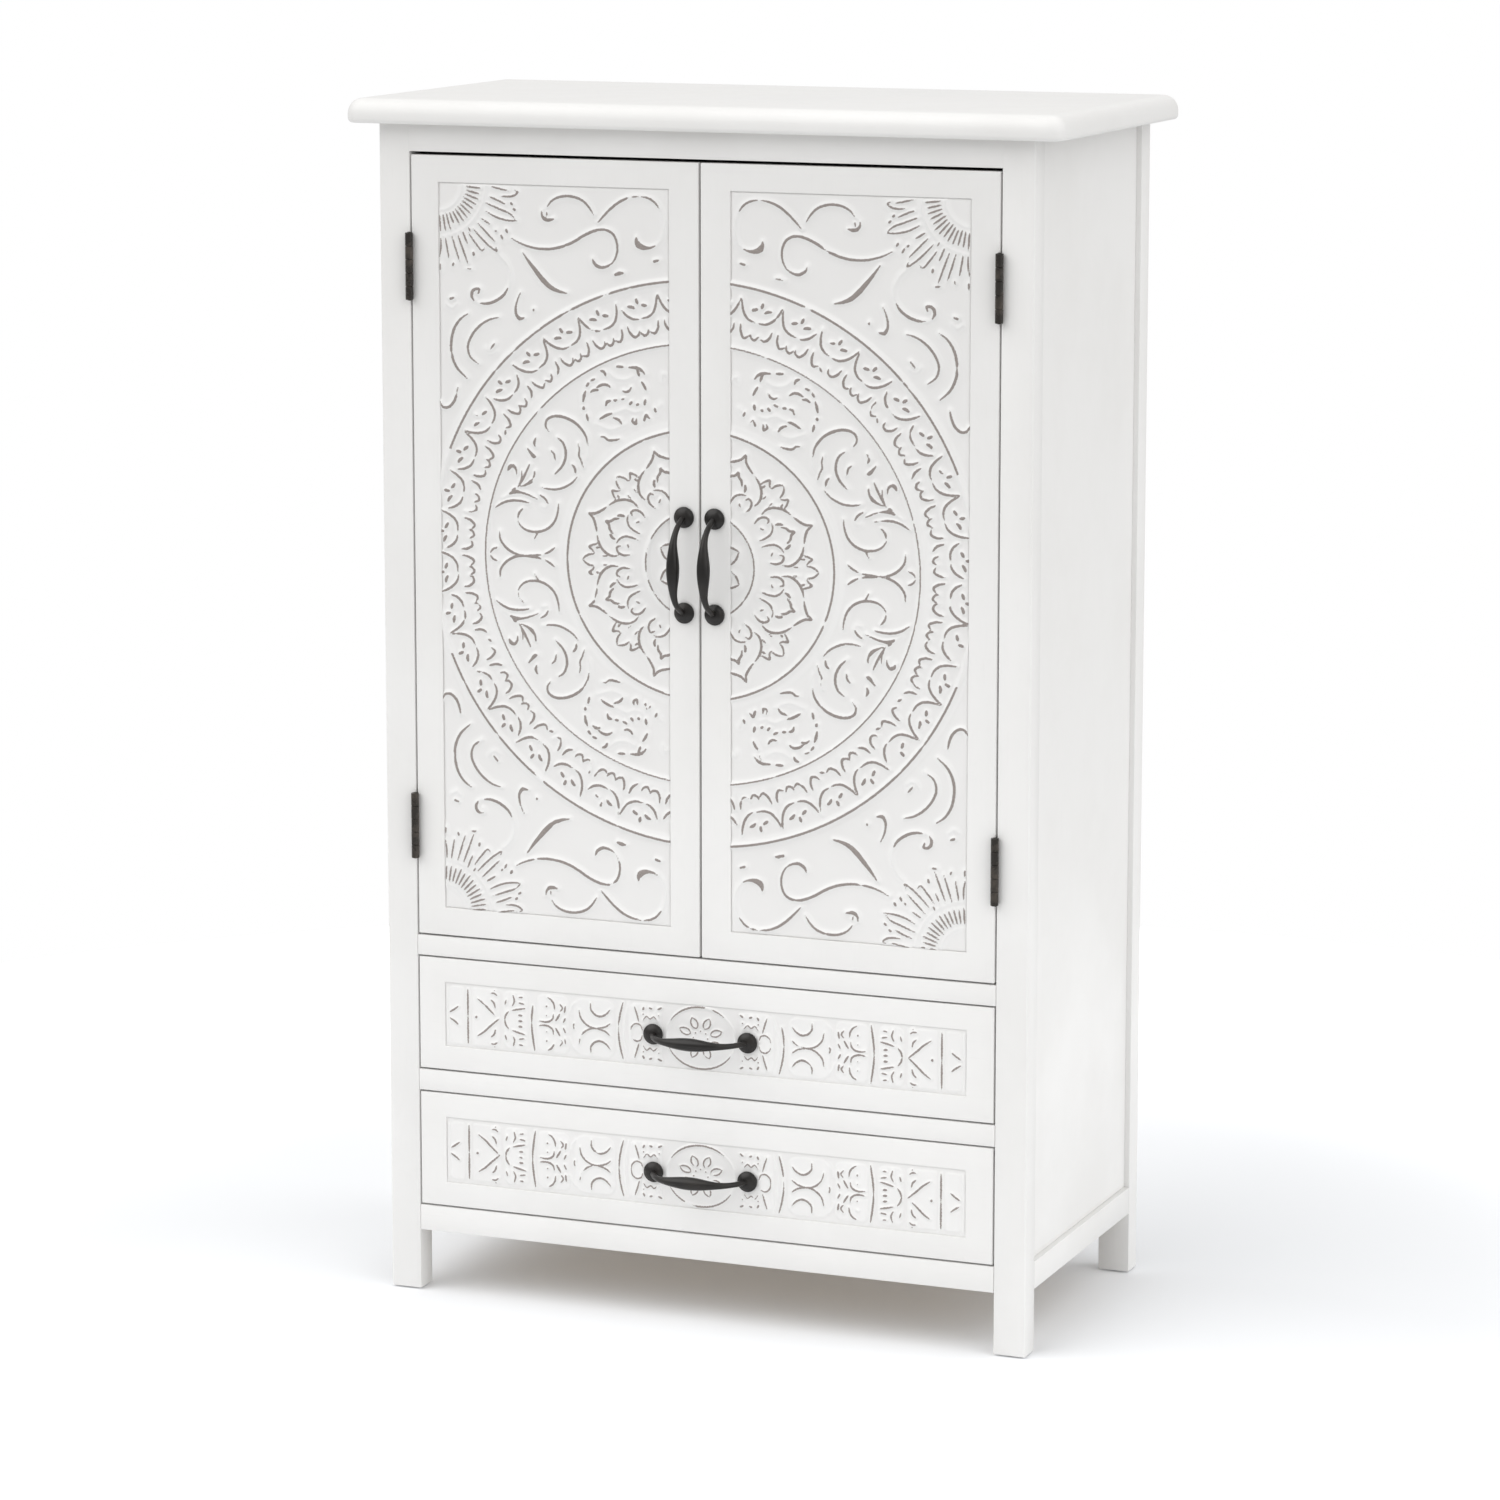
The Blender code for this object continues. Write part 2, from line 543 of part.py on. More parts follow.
def make_drawer(level, bottom, top, paint, wood, bronze):
    """One drawer: a front with its carved strip, a box with grooved sides, and a handle."""
    parent = carrier(f"{level}_drawer_axis", (0, FRONT, (bottom + top) / 2))
    name = f"{level}_drawer_"
    half = OPENING_HALF - DRAWER_GAP
    low = bottom + DRAWER_GAP
    high = top - DRAWER_GAP
    middle = (low + high) / 2
    back = FRONT + DRAWER_FRONT_THICKNESS
    front = board(name + "front", (-half, FRONT, low), (half, back, high), paint, parent, edge=0)
    strip_x = half - DRAWER_SIDE_BORDER
    strip_z = middle - low - DRAWER_BORDER
    strip_back = FRONT + PANEL_RECESS + CARVED_STRIP_THICKNESS
    pocket = bmesh.new()
    add_box(pocket, (-strip_x, FRONT - EDGE, middle - strip_z),
            (strip_x, strip_back + TOUCH, middle + strip_z))
    combine(front, add_piece(name + "pocket", mesh_from(name + "pocket", pocket),
                             (0, 0, 0), paint), "DIFFERENCE")
    board(name + "carved_strip",
          (TOUCH - strip_x, FRONT + PANEL_RECESS, middle - strip_z + TOUCH),
          (strip_x - TOUCH, strip_back, middle + strip_z - TOUCH), paint, parent, edge=0)
    side_low = low + DRAWER_SIDE_LIFT
    side_high = side_low + DRAWER_SIDE_HEIGHT
    near = back + TOUCH
    far = near + DRAWER_BOX_LENGTH
    groove_half = RUNNER_HEIGHT / 2 + RUNNER_PLAY
    groove_low = runner_level(bottom) - groove_half
    groove_high = runner_level(bottom) + groove_half
    groove_face = OPENING_HALF - RUNNER_THICKNESS - RUNNER_PLAY
    inside = DRAWER_BOX_HALF - DRAWER_SIDE_THICKNESS
    for side, sign in (("left", -1), ("right", 1)):
        outer = DRAWER_BOX_HALF
        section = [(inside, side_low), (outer, side_low), (outer, groove_low),
                   (groove_face, groove_low), (groove_face, groove_high), (outer, groove_high),
                   (outer, side_high), (inside, side_high)]
        outline = [(sign * x, z) for x, z in section]
        prism(f"{name}{side}_side", outline, 1, near, far, wood, parent)
    inside -= TOUCH
    board(name + "back", (-inside, far - DRAWER_SIDE_THICKNESS, side_low), (inside, far, side_high),
          wood, parent)
    floor_low = side_low + DRAWER_BOTTOM_LIFT
    board(name + "bottom", (-inside, near, floor_low),
          (inside, far - DRAWER_SIDE_THICKNESS - TOUCH, floor_low + DRAWER_BOTTOM_THICKNESS),
          wood, parent, edge=0)
    make_handle(name + "handle", (0, middle), DRAWER_HANDLE_CENTRES, False, bronze, parent)


clear_scene()
white_paint = finish("white_paint", (0.83, 0.82, 0.80), 0.45, 0.0)
pale_wood = finish("pale_wood", (0.72, 0.60, 0.44), 0.6, 0.0)
dark_bronze = finish("dark_bronze", (0.035, 0.030, 0.027), 0.38, 0.8)
zinc_steel = finish("zinc_steel", (0.62, 0.62, 0.63), 0.35, 1.0)
black_plastic = finish("black_plastic", (0.03, 0.03, 0.03), 0.5, 0.0)

make_top_board(white_paint)
make_posts(white_paint)
make_rails(white_paint)
make_panels(white_paint)
make_shelves(white_paint)
make_catch(black_plastic)
make_runners(pale_wood)
make_frame_hinges(dark_bronze)
for door_side, door_sign in (("left", -1), ("right", 1)):
    make_door(door_side, door_sign, white_paint, dark_bronze, zinc_steel)
for drawer_level, drawer_bottom, drawer_top in (
        ("upper", UPPER_DRAWER_BOTTOM, UPPER_DRAWER_TOP),
        ("lower", LOWER_DRAWER_BOTTOM, LOWER_DRAWER_TOP)):
    make_drawer(drawer_level, drawer_bottom, drawer_top, white_paint, pale_wood, dark_bronze)
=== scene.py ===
import math

import bmesh
import bpy
import numpy as np
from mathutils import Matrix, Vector


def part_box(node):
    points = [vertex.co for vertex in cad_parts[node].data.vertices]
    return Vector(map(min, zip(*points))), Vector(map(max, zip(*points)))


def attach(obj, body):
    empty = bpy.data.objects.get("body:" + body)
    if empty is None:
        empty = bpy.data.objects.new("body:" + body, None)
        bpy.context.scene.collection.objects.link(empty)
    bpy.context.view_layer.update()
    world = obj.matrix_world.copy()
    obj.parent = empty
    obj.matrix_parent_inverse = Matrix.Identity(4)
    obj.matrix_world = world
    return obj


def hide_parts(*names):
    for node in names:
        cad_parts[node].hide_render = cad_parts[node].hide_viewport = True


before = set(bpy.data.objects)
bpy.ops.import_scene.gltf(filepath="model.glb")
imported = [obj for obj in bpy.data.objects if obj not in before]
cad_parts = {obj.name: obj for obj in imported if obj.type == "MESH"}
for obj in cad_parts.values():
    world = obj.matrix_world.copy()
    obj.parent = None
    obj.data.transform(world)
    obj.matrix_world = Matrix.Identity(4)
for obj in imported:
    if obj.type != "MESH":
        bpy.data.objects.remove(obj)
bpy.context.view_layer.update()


# ------------------------------------------------------------------ Corner posts
# Four square posts of solid wood stand at the corners and carry everything else.
# Their edges are sanded round and they are sprayed a satin warm white; every rail is
# glued and dowelled between them.

POST_ROUNDING = 0.0024
POST_EASE = 0.0008
ROUNDED_OFF = 0.004
GLIDE_HEIGHT = 0.0018


def take_up(*pieces):
    """Select these pieces and nothing else; the first of them is the one in hand."""
    if bpy.context.object is not None and bpy.context.object.mode != "OBJECT":
        bpy.ops.object.mode_set(mode="OBJECT")
    bpy.ops.object.select_all(action="DESELECT")
    for piece in pieces:
        piece.select_set(True)
    if pieces:
        bpy.context.view_layer.objects.active = pieces[0]


def name_piece(name):
    """Name the piece in hand and its mesh."""
    piece = bpy.context.object
    piece.name = name
    piece.data.name = name
    return piece


def rough_block(name, low, high):
    """Saw one block to size, standing in its place."""
    take_up()
    low = Vector(low)
    high = Vector(high)
    bpy.ops.mesh.primitive_cube_add(size=1.0, location=(low + high) / 2, scale=high - low)
    bpy.ops.object.transform_apply()
    return name_piece(name)


def open_for_edit(piece, kind="EDGE"):
    """Go into edit mode on one piece with nothing selected, and return its edit mesh."""
    take_up(piece)
    bpy.ops.object.mode_set(mode="EDIT")
    bpy.ops.mesh.select_mode(type=kind)
    bpy.ops.mesh.select_all(action="DESELECT")
    return bmesh.from_edit_mesh(piece.data)


def round_edges(piece, radius, steps, chosen=None):
    """Round the chosen edges of a piece over, or all of them."""
    shape = open_for_edit(piece)
    for edge in shape.edges:
        a, b = (vert.co for vert in edge.verts)
        edge.select_set(chosen is None or chosen(a, b))
    bmesh.update_edit_mesh(piece.data)
    bpy.ops.mesh.bevel(offset=radius, segments=steps, profile=0.5, affect="EDGES")
    bpy.ops.object.mode_set(mode="OBJECT")


def finish_with(piece, material):
    """Give a piece its one finish."""
    piece.data.materials.clear()
    piece.data.materials.append(material)


def hand_over(piece, material, body, slot, *nodes, angle=38):
    """Smooth a made piece, give it its finish, and fix it to its body."""
    take_up(piece)
    bpy.ops.object.shade_smooth_by_angle(angle=math.radians(angle))
    finish_with(piece, material)
    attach(piece, body)
    if nodes:
        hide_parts(*nodes)


def set_inputs(tree, node, **inputs):
    """Give each named input of a shader node a plain value, or a link from another node."""
    for label, value in inputs.items():
        socket = node.inputs[label.replace("_", " ")]
        if isinstance(value, bpy.types.NodeSocket):
            tree.links.new(value, socket)
        else:
            socket.default_value = value


def node_of(tree, kind, **inputs):
    """Add one shader node and set its inputs."""
    node = tree.nodes.new(kind)
    set_inputs(tree, node, **inputs)
    return node


def blend_colours(tree, factor, first, second):
    """Mix two colours by a factor; each may be a colour or a socket."""
    mix = node_of(tree, "ShaderNodeMix", Factor=factor)
    mix.data_type = "RGBA"
    for slot_name, value in (("A", first), ("B", second)):
        socket = [s for s in mix.inputs if s.name == slot_name and s.type == "RGBA"][0]
        if isinstance(value, bpy.types.NodeSocket):
            tree.links.new(value, socket)
        else:
            socket.default_value = (*value, 1.0)
    return [s for s in mix.outputs if s.type == "RGBA"][0]


def along_grain(tree, place, grain, pull, shift=(0.0, 0.0, 0.0)):
    """Pattern coordinates drawn out along one axis, as grain or brushing runs."""
    factors = tuple(pull if axis == grain else 1.0 for axis in "XYZ")
    return node_of(tree, "ShaderNodeMapping", Vector=place, Location=shift,
                   Scale=factors).outputs["Vector"]


def noise(tree, vector, scale, detail, roughness):
    """One noise pattern's factor."""
    return node_of(tree, "ShaderNodeTexNoise", Vector=vector, Scale=scale, Detail=detail,
                   Roughness=roughness).outputs["Fac"]


def remap(tree, value, low, high, to_low, to_high):
    """Carry a value from one range to another, smoothly."""
    ramp = node_of(tree, "ShaderNodeMapRange", Value=value, From_Min=low, From_Max=high,
                   To_Min=to_low, To_Max=to_high)
    ramp.interpolation_type = "SMOOTHSTEP"
    return ramp.outputs["Result"]


def mottle(tree, pattern, start, end, first, second, most=1.0):
    """Pass from one colour towards another where a pattern rises from start to end."""
    return blend_colours(tree, remap(tree, pattern, start, end, 0.0, most), first, second)


def bumps(tree, shader, *layers):
    """Stack bump layers, each a height socket with its depth in metres."""
    normal = None
    for height, depth in layers:
        bump = node_of(tree, "ShaderNodeBump", Strength=1.0, Distance=depth, Height=height)
        if normal is not None:
            tree.links.new(normal, bump.inputs["Normal"])
        normal = bump.outputs["Normal"]
    tree.links.new(normal, shader.inputs["Normal"])


def new_material(name):
    """A node material with its shader, its tree and its Object coordinates."""
    material = bpy.data.materials.new(name)
    material.use_nodes = True
    tree = material.node_tree
    shader = tree.nodes["Principled BSDF"]
    place = tree.nodes.new("ShaderNodeTexCoord").outputs["Object"]
    return material, tree, shader, place


def satin_white(name, grain):
    """Satin white paint over sanded wood, its faint grain running along one axis."""
    material, tree, shader, place = new_material(name)
    cloud = noise(tree, place, 5.0, 4.0, 0.6)
    coat = mottle(tree, cloud, 0.35, 0.7, (0.765, 0.758, 0.745), (0.735, 0.727, 0.712))
    fibres = noise(tree, along_grain(tree, place, grain, 0.05), 420.0, 5.0, 0.6)
    speck = noise(tree, place, 900.0, 2.0, 0.5)
    set_inputs(tree, shader, Specular_IOR_Level=0.42,
               Base_Color=mottle(tree, fibres, 0.56, 0.74, coat, (0.66, 0.65, 0.63), 0.16),
               Roughness=remap(tree, cloud, 0.3, 0.75, 0.36, 0.50))
    bumps(tree, shader, (fibres, 0.00009), (speck, 0.00003))
    return material


paint_upright = satin_white("satin_white_upright", "Z")
paint_across = satin_white("satin_white_across", "X")
paint_deep = satin_white("satin_white_front_to_back", "Y")

for corner in ("front_left", "front_right", "rear_left", "rear_right"):
    low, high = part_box(corner + "_post")
    low.z += GLIDE_HEIGHT
    post = rough_block(corner + "_square_post", low, high)
    outer_x = math.copysign(max(abs(low.x), abs(high.x)), low.x)
    outer_y = low.y if "front" in corner else high.y

    def outer_arris(a, b):
        """True for the long edge at the corner of the whole case."""
        return (abs(a.z - b.z) > 0.5 and abs(a.x - outer_x) < ROUNDED_OFF
                and abs(a.y - outer_y) < ROUNDED_OFF)

    def other_arris(a, b):
        """True for the other edges, leaving out the short ones of the rounded corner."""
        return (a - b).length > 0.02 and not outer_arris(a, b)

    round_edges(post, POST_ROUNDING, 4, outer_arris)
    round_edges(post, POST_EASE, 2, other_arris)
    hand_over(post, paint_upright, "root", "white_paint", corner + "_post")


# ------------------------------------------------------------------ Foot glides
# A round nylon glide is nailed under each foot, so that the armoire slides without
# marking the floor. Each is a pressed button with a rolled edge and a nail head.

GLIDE_RADIUS = 0.010


def close_up():
    """Turn every face of the piece in hand outwards and leave edit mode."""
    bpy.ops.mesh.select_all(action="SELECT")
    bpy.ops.mesh.normals_make_consistent(inside=False)
    bpy.ops.object.mode_set(mode="OBJECT")


def turned(name, rings, sides, place, axis="Z"):
    """Turn a solid from rings of (radius, height), each extruded from the last."""
    take_up()
    radius, height = rings[0]
    bpy.ops.mesh.primitive_circle_add(vertices=sides, radius=radius, fill_type="NGON",
                                      location=(0, 0, 0))
    solid = name_piece(name)
    bpy.ops.object.mode_set(mode="EDIT")
    bpy.ops.mesh.select_all(action="SELECT")
    bpy.ops.transform.translate(value=(0, 0, height))
    for next_radius, next_height in rings[1:]:
        bpy.ops.mesh.extrude_region_move(
            TRANSFORM_OT_translate={"value": (0, 0, next_height - height)})
        grow = next_radius / radius
        bpy.ops.transform.resize(value=(grow, grow, 1), center_override=(0, 0, 0))
        radius, height = next_radius, next_height
    close_up()
    quarter = math.pi / 2
    solid.rotation_euler = {"Z": (0, 0, 0), "X": (0, quarter, 0), "-X": (0, -quarter, 0),
                            "Y": (-quarter, 0, 0), "-Y": (quarter, 0, 0)}[axis]
    solid.location = place
    bpy.ops.object.transform_apply()
    return solid


def moulded_nylon(name, colour):
    """Dull moulded nylon, scuffed a little where it slides."""
    material, tree, shader, place = new_material(name)
    scuff = noise(tree, place, 260.0, 5.0, 0.65)
    worn = tuple(c * 0.7 for c in colour)
    set_inputs(tree, shader, Base_Color=mottle(tree, scuff, 0.4, 0.65, colour, worn),
               Roughness=0.55)
    bumps(tree, shader, (scuff, 0.0001))
    return material


glide_nylon = moulded_nylon("grey_nylon", (0.36, 0.355, 0.34))
for corner in ("front_left", "front_right", "rear_left", "rear_right"):
    low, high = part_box(corner + "_post")
    middle = (low + high) / 2
    rings = [(0.0022, 0.0006), (0.0030, 0.0002), (0.0034, 0.0), (0.0082, 0.0), (0.0092, 0.0002),
             (0.0099, 0.0007), (GLIDE_RADIUS, 0.0011), (GLIDE_RADIUS, GLIDE_HEIGHT + 0.0004)]
    glide = turned(corner + "_glide", rings, 40, (middle.x, middle.y, 0))
    hand_over(glide, glide_nylon, "root", "black_plastic")


# ------------------------------------------------------------------ Rails of the case
# Straight rails of solid wood join the posts: four across the front, which frame the
# drawers and the doors, one low on each side, and one low at the back.
# Their arrises are only eased, so a hairline shows where each meets its post, except at
# the top rail, whose joints are filled and painted over.

RAIL_EASE = 0.0006
SIDE_RAIL_EASE = 0.0012
FILLER = 0.0011

for node in ("front_bottom_rail", "front_drawer_rail", "front_middle_rail", "front_top_rail",
             "left_side_rail", "right_side_rail", "rear_bottom_rail"):
    low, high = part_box(node)
    at_side = "side" in node
    filled = node == "front_top_rail"
    if filled:
        low.x -= FILLER
        high.x += FILLER
    rail = rough_block(node + "_eased", low, high)
    round_edges(rail, SIDE_RAIL_EASE if at_side else RAIL_EASE, 2,
                lambda a, b: not filled or abs(a.x - b.x) > 0.1)
    hand_over(rail, paint_deep if at_side else paint_across, "root", "white_paint", node)


# ------------------------------------------------------------------ Plug in the middle rail
# A small plug of wood fills the hole over the screw that holds the middle rail, glued in
# flush and painted over, so that only a faint outline shows.

PLUG_PROUD = 0.00012
PLUG_DEPTH = 0.004
PLUG_EASE = 0.0004

low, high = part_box("front_middle_rail")
plug = rough_block("middle_rail_plug", (-0.0058, low.y - PLUG_PROUD, low.z + 0.0035),
                   (0.0052, low.y + PLUG_DEPTH, high.z - 0.0025))
round_edges(plug, PLUG_EASE, 2)
hand_over(plug, paint_upright, "root", "white_paint")


# ------------------------------------------------------------------ Side and back panels
# Thin boards fill the sides between the posts, set back a little from their faces, and
# a thinner one closes the back, where a row of panel pins holds it to the frame.
# They are left as the solids have them and painted like the frame.

PIN_SPACING = 0.14
PIN_MARGIN = 0.02


def repaint(material, *nodes):
    """Give solids that keep their shape a worked finish."""
    for node in nodes:
        finish_with(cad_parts[node], material)


repaint(paint_upright, "left_side_panel", "right_side_panel", "back_panel")


def join_pieces(name, parts):
    """Join small parts into one piece."""
    take_up(*parts)
    bpy.ops.object.join()
    return name_piece(name)


def bright_steel(name, colour):
    """Plated steel with fine scratches."""
    material, tree, shader, place = new_material(name)
    scratch = noise(tree, along_grain(tree, place, "Z", 0.08), 900.0, 4.0, 0.6)
    dull = tuple(c * 0.72 for c in colour)
    set_inputs(tree, shader, Base_Color=mottle(tree, scratch, 0.4, 0.65, colour, dull),
               Roughness=remap(tree, scratch, 0.3, 0.7, 0.32, 0.50), Metallic=1.0)
    bumps(tree, shader, (scratch, 0.00002))
    return material


zinc = bright_steel("zinc_plate", (0.62, 0.62, 0.63))
back_low, back_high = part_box("back_panel")
pin_rings = [(0.0016, 0.0), (0.0018, 0.0003), (0.0014, 0.0006), (0.0004, 0.0008)]
back_size = back_high - back_low
places = []
rows = int((back_size.z - 2 * PIN_MARGIN) / PIN_SPACING)
for row in range(rows + 1):
    level = back_low.z + PIN_MARGIN + row * (back_size.z - 2 * PIN_MARGIN) / rows
    places += [(back_low.x + 0.010, level), (back_high.x - 0.010, level)]
for column in range(1, 5):
    across = back_low.x + column * back_size.x / 5
    places += [(across, back_low.z + 0.014), (across, back_high.z - 0.010)]
pins = [turned("pin", pin_rings, 12, (x, back_high.y, z), "Y") for x, z in places]
hand_over(join_pieces("back_panel_pins", pins), zinc, "root", "zinc_steel")


# ------------------------------------------------------------------ Floor and shelves
# The cabinet floor and two shelves are plain boards cut round the posts, painted white
# inside as out. Each shelf rests on four short steel pins pushed into the sides.

repaint(paint_across, "cabinet_floor", "lower_shelf", "upper_shelf")

shelf_pins = []
shelf_pin_rings = [(0.0024, -0.004), (0.0024, 0.0090), (0.0020, 0.0098), (0.0010, 0.0101)]
for shelf in ("lower_shelf", "upper_shelf"):
    low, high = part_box(shelf)
    for edge_x, axis in ((low.x, "X"), (high.x, "-X")):
        for depth_at in (low.y + 0.05, high.y - 0.05):
            under = (edge_x, depth_at, low.z - 0.0024)
            shelf_pins.append(turned("shelf_pin", shelf_pin_rings, 16, under, axis))
hand_over(join_pieces("shelf_pins", shelf_pins), zinc, "root", "zinc_steel")


# ------------------------------------------------------------------ Magnetic catch
# A double magnetic catch of black plastic is screwed under the upper shelf, where both
# doors close on it. Each half shows the steel pole plates of its magnet.

POLE_HALF_WIDTH = 0.008
POLE_HALF_HEIGHT = 0.0008
POLE_OFFSET = 0.0115
POLE_PROUD = 0.0004
POLE_EASE = 0.0002

catch_black = moulded_nylon("black_catch_plastic", (0.035, 0.034, 0.034))
repaint(catch_black, "magnetic_catch")
catch_low, catch_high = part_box("magnetic_catch")
poles = []
for pole_x in (-POLE_OFFSET, POLE_OFFSET):
    for level in (0.3, 0.7):
        pole_z = catch_low.z + level * (catch_high.z - catch_low.z)
        near = (pole_x - POLE_HALF_WIDTH, catch_low.y - POLE_PROUD, pole_z - POLE_HALF_HEIGHT)
        far = (pole_x + POLE_HALF_WIDTH, catch_low.y + 0.003, pole_z + POLE_HALF_HEIGHT)
        pole = rough_block("pole", near, far)
        round_edges(pole, POLE_EASE, 2)
        poles.append(pole)
hand_over(join_pieces("catch_pole_plates", poles), zinc, "root", "zinc_steel")


# ------------------------------------------------------------------ Top board
# One thick board lies on the case and reaches past it at the front and sides.
# Its corners are rounded, its upper edge is worked to a soft half round and its lower
# edge is eased.

TOP_CORNER = 0.0175
TOP_UPPER_ROUND = 0.0165
TOP_LOWER_ROUND = 0.0050

low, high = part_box("top_board")
top = rough_block("top_board_rounded", low, high)
tall = (high.z - low.z) * 0.9
round_edges(top, TOP_CORNER, 8, lambda a, b: abs(a.z - b.z) > tall)
round_edges(top, TOP_UPPER_ROUND, 9, lambda a, b: min(a.z, b.z) > high.z - 0.0001)
round_edges(top, TOP_LOWER_ROUND, 4, lambda a, b: max(a.z, b.z) < low.z + 0.0001)
hand_over(top, paint_across, "root", "white_paint", "top_board", angle=30)


# ------------------------------------------------------------------ Drawer boxes and runners
# Each drawer is a box of bare sanded wood: grooved sides that slide on two hardwood
# runners fixed across the posts, a back, and a thin bottom. They keep the shape of
# the solids and get their grain here.


def sanded_wood(name, grain, seed):
    """Pale sanded wood with growth rings drawn out along one axis."""
    material, tree, shader, place = new_material(name)
    along = along_grain(tree, place, grain, 0.06, (seed, seed * 0.7, seed * 1.3))
    rings = node_of(tree, "ShaderNodeTexWave", Vector=along, Scale=34.0, Distortion=9.0,
                    Detail=3.0, Detail_Scale=1.6).outputs["Fac"]
    fibres = noise(tree, along, 520.0, 6.0, 0.65)
    warm = mottle(tree, rings, 0.2, 0.95, (0.63, 0.52, 0.385), (0.53, 0.42, 0.295))
    set_inputs(tree, shader,
               Base_Color=mottle(tree, fibres, 0.5, 0.75, warm, (0.40, 0.31, 0.21), 0.45),
               Roughness=remap(tree, fibres, 0.3, 0.7, 0.52, 0.7))
    bumps(tree, shader, (fibres, 0.00015))
    return material


wood_deep = sanded_wood("sanded_wood_front_to_back", "Y", 1.7)
wood_across = sanded_wood("sanded_wood_across", "X", 4.1)
for drawer in ("upper", "lower"):
    repaint(wood_deep, f"{drawer}_left_runner", f"{drawer}_right_runner",
            f"{drawer}_drawer_left_side", f"{drawer}_drawer_right_side")
    repaint(wood_across, f"{drawer}_drawer_back", f"{drawer}_drawer_bottom")


# ------------------------------------------------------------------ Carving
# The carved boards are solid panels with a low relief cut by router and finished by
# hand: round ribs stand on a shallow ground, and after painting the crests of the
# ribs are rubbed through to the brown undercoat.


class Carving:
    """The relief of one carved board, kept in millimetres on a regular grid.

    crest is how far a point lies inside a rubbed crest, foot how far inside a rib, swell
    how far up the low bank that a rib stands on, spread how wide that bank is, and wear
    how much further than its set line each crest is rubbed.
    """

    def __init__(self, low, high, cell, wear, shoulder, spread):
        self.wear = wear
        self.shoulder = shoulder
        self.spread = spread
        self.low = np.array(low, float)
        self.high = np.array(high, float)
        self.cells = np.maximum(1, np.round((self.high - self.low) / cell)).astype(int)
        self.across = np.linspace(self.low[0], self.high[0], self.cells[0] + 1)
        self.up = np.linspace(self.low[1], self.high[1], self.cells[1] + 1)
        self.u, self.v = np.meshgrid(self.across, self.up)
        self.crest = np.full(self.u.shape, -6.0)
        self.foot = np.full(self.u.shape, -6.0)
        self.swell = np.zeros(self.u.shape)
        self.ground = np.zeros(self.u.shape)

    def stamp(self, points, halves, shoulder, rubbed):
        """Raise a rib along close-set points, and rub its crest if asked."""
        reach = halves.max() + max(shoulder + 2.5, self.spread)
        box_low = points.min(axis=0) - reach
        box_high = points.max(axis=0) + reach
        i0, i1 = np.searchsorted(self.across, (box_low[0], box_high[0]))
        j0, j1 = np.searchsorted(self.up, (box_low[1], box_high[1]))
        if i0 >= i1 or j0 >= j1:
            return
        u = self.u[j0:j1, i0:i1, None]
        v = self.v[j0:j1, i0:i1, None]
        inside = (halves - np.hypot(u - points[:, 0], v - points[:, 1])).max(axis=2)
        patch = (slice(j0, j1), slice(i0, i1))
        self.foot[patch] = np.maximum(self.foot[patch], inside + shoulder)
        self.swell[patch] = np.maximum(self.swell[patch], 1 + inside / self.spread)
        if rubbed:
            self.crest[patch] = np.maximum(self.crest[patch], inside + self.wear)

    def rib(self, points, widest, shoulder, rubbed=True):
        """Cut one rib through listed points; a third number is its half width there."""
        line = np.array([point[:2] for point in points], float)
        steps = np.hypot(*np.diff(line, axis=0).T)
        at = np.concatenate([[0.0], np.cumsum(steps)])
        count = max(3, int(at[-1] / 0.45) + 2)
        t = np.linspace(0.0, at[-1], count)
        smooth = np.stack([spline(at, line[:, 0], t), spline(at, line[:, 1], t)], axis=1)
        if len(points[0]) == 3:
            halves = np.interp(t, at, [point[2] for point in points])
        else:
            share = t / at[-1]
            halves = widest * np.maximum(0.32, (4 * share * (1 - share)) ** 0.4)
        reach = shoulder if rubbed else 0.6 * shoulder
        for start in range(0, count, 20):
            piece = slice(start, start + 21)
            self.stamp(smooth[piece], halves[piece], reach, rubbed)

    def dot(self, u, v, radius, shoulder):
        """Cut one small round bead."""
        self.stamp(np.array([[u, v]], float), np.array([radius], float), shoulder, True)


def spline(at, values, t):
    """Pass a smooth curve through values set at rising places."""
    if len(at) < 3:
        return np.interp(t, at, values)
    slopes = np.gradient(values, at)
    index = np.clip(np.searchsorted(at, t, side="right") - 1, 0, len(at) - 2)
    span = at[index + 1] - at[index]
    s = (t - at[index]) / span
    a, b = values[index], values[index + 1]
    p, q = slopes[index] * span, slopes[index + 1] * span
    return (a * (2 * s**3 - 3 * s**2 + 1) + p * (s**3 - 2 * s**2 + s)
            + b * (3 * s**2 - 2 * s**3) + q * (s**3 - s**2))


def soft_step(value, start, end):
    """Rise smoothly from 0 at start to 1 at end."""
    s = np.clip((value - start) / (end - start), 0.0, 1.0)
    return s * s * (3 - 2 * s)


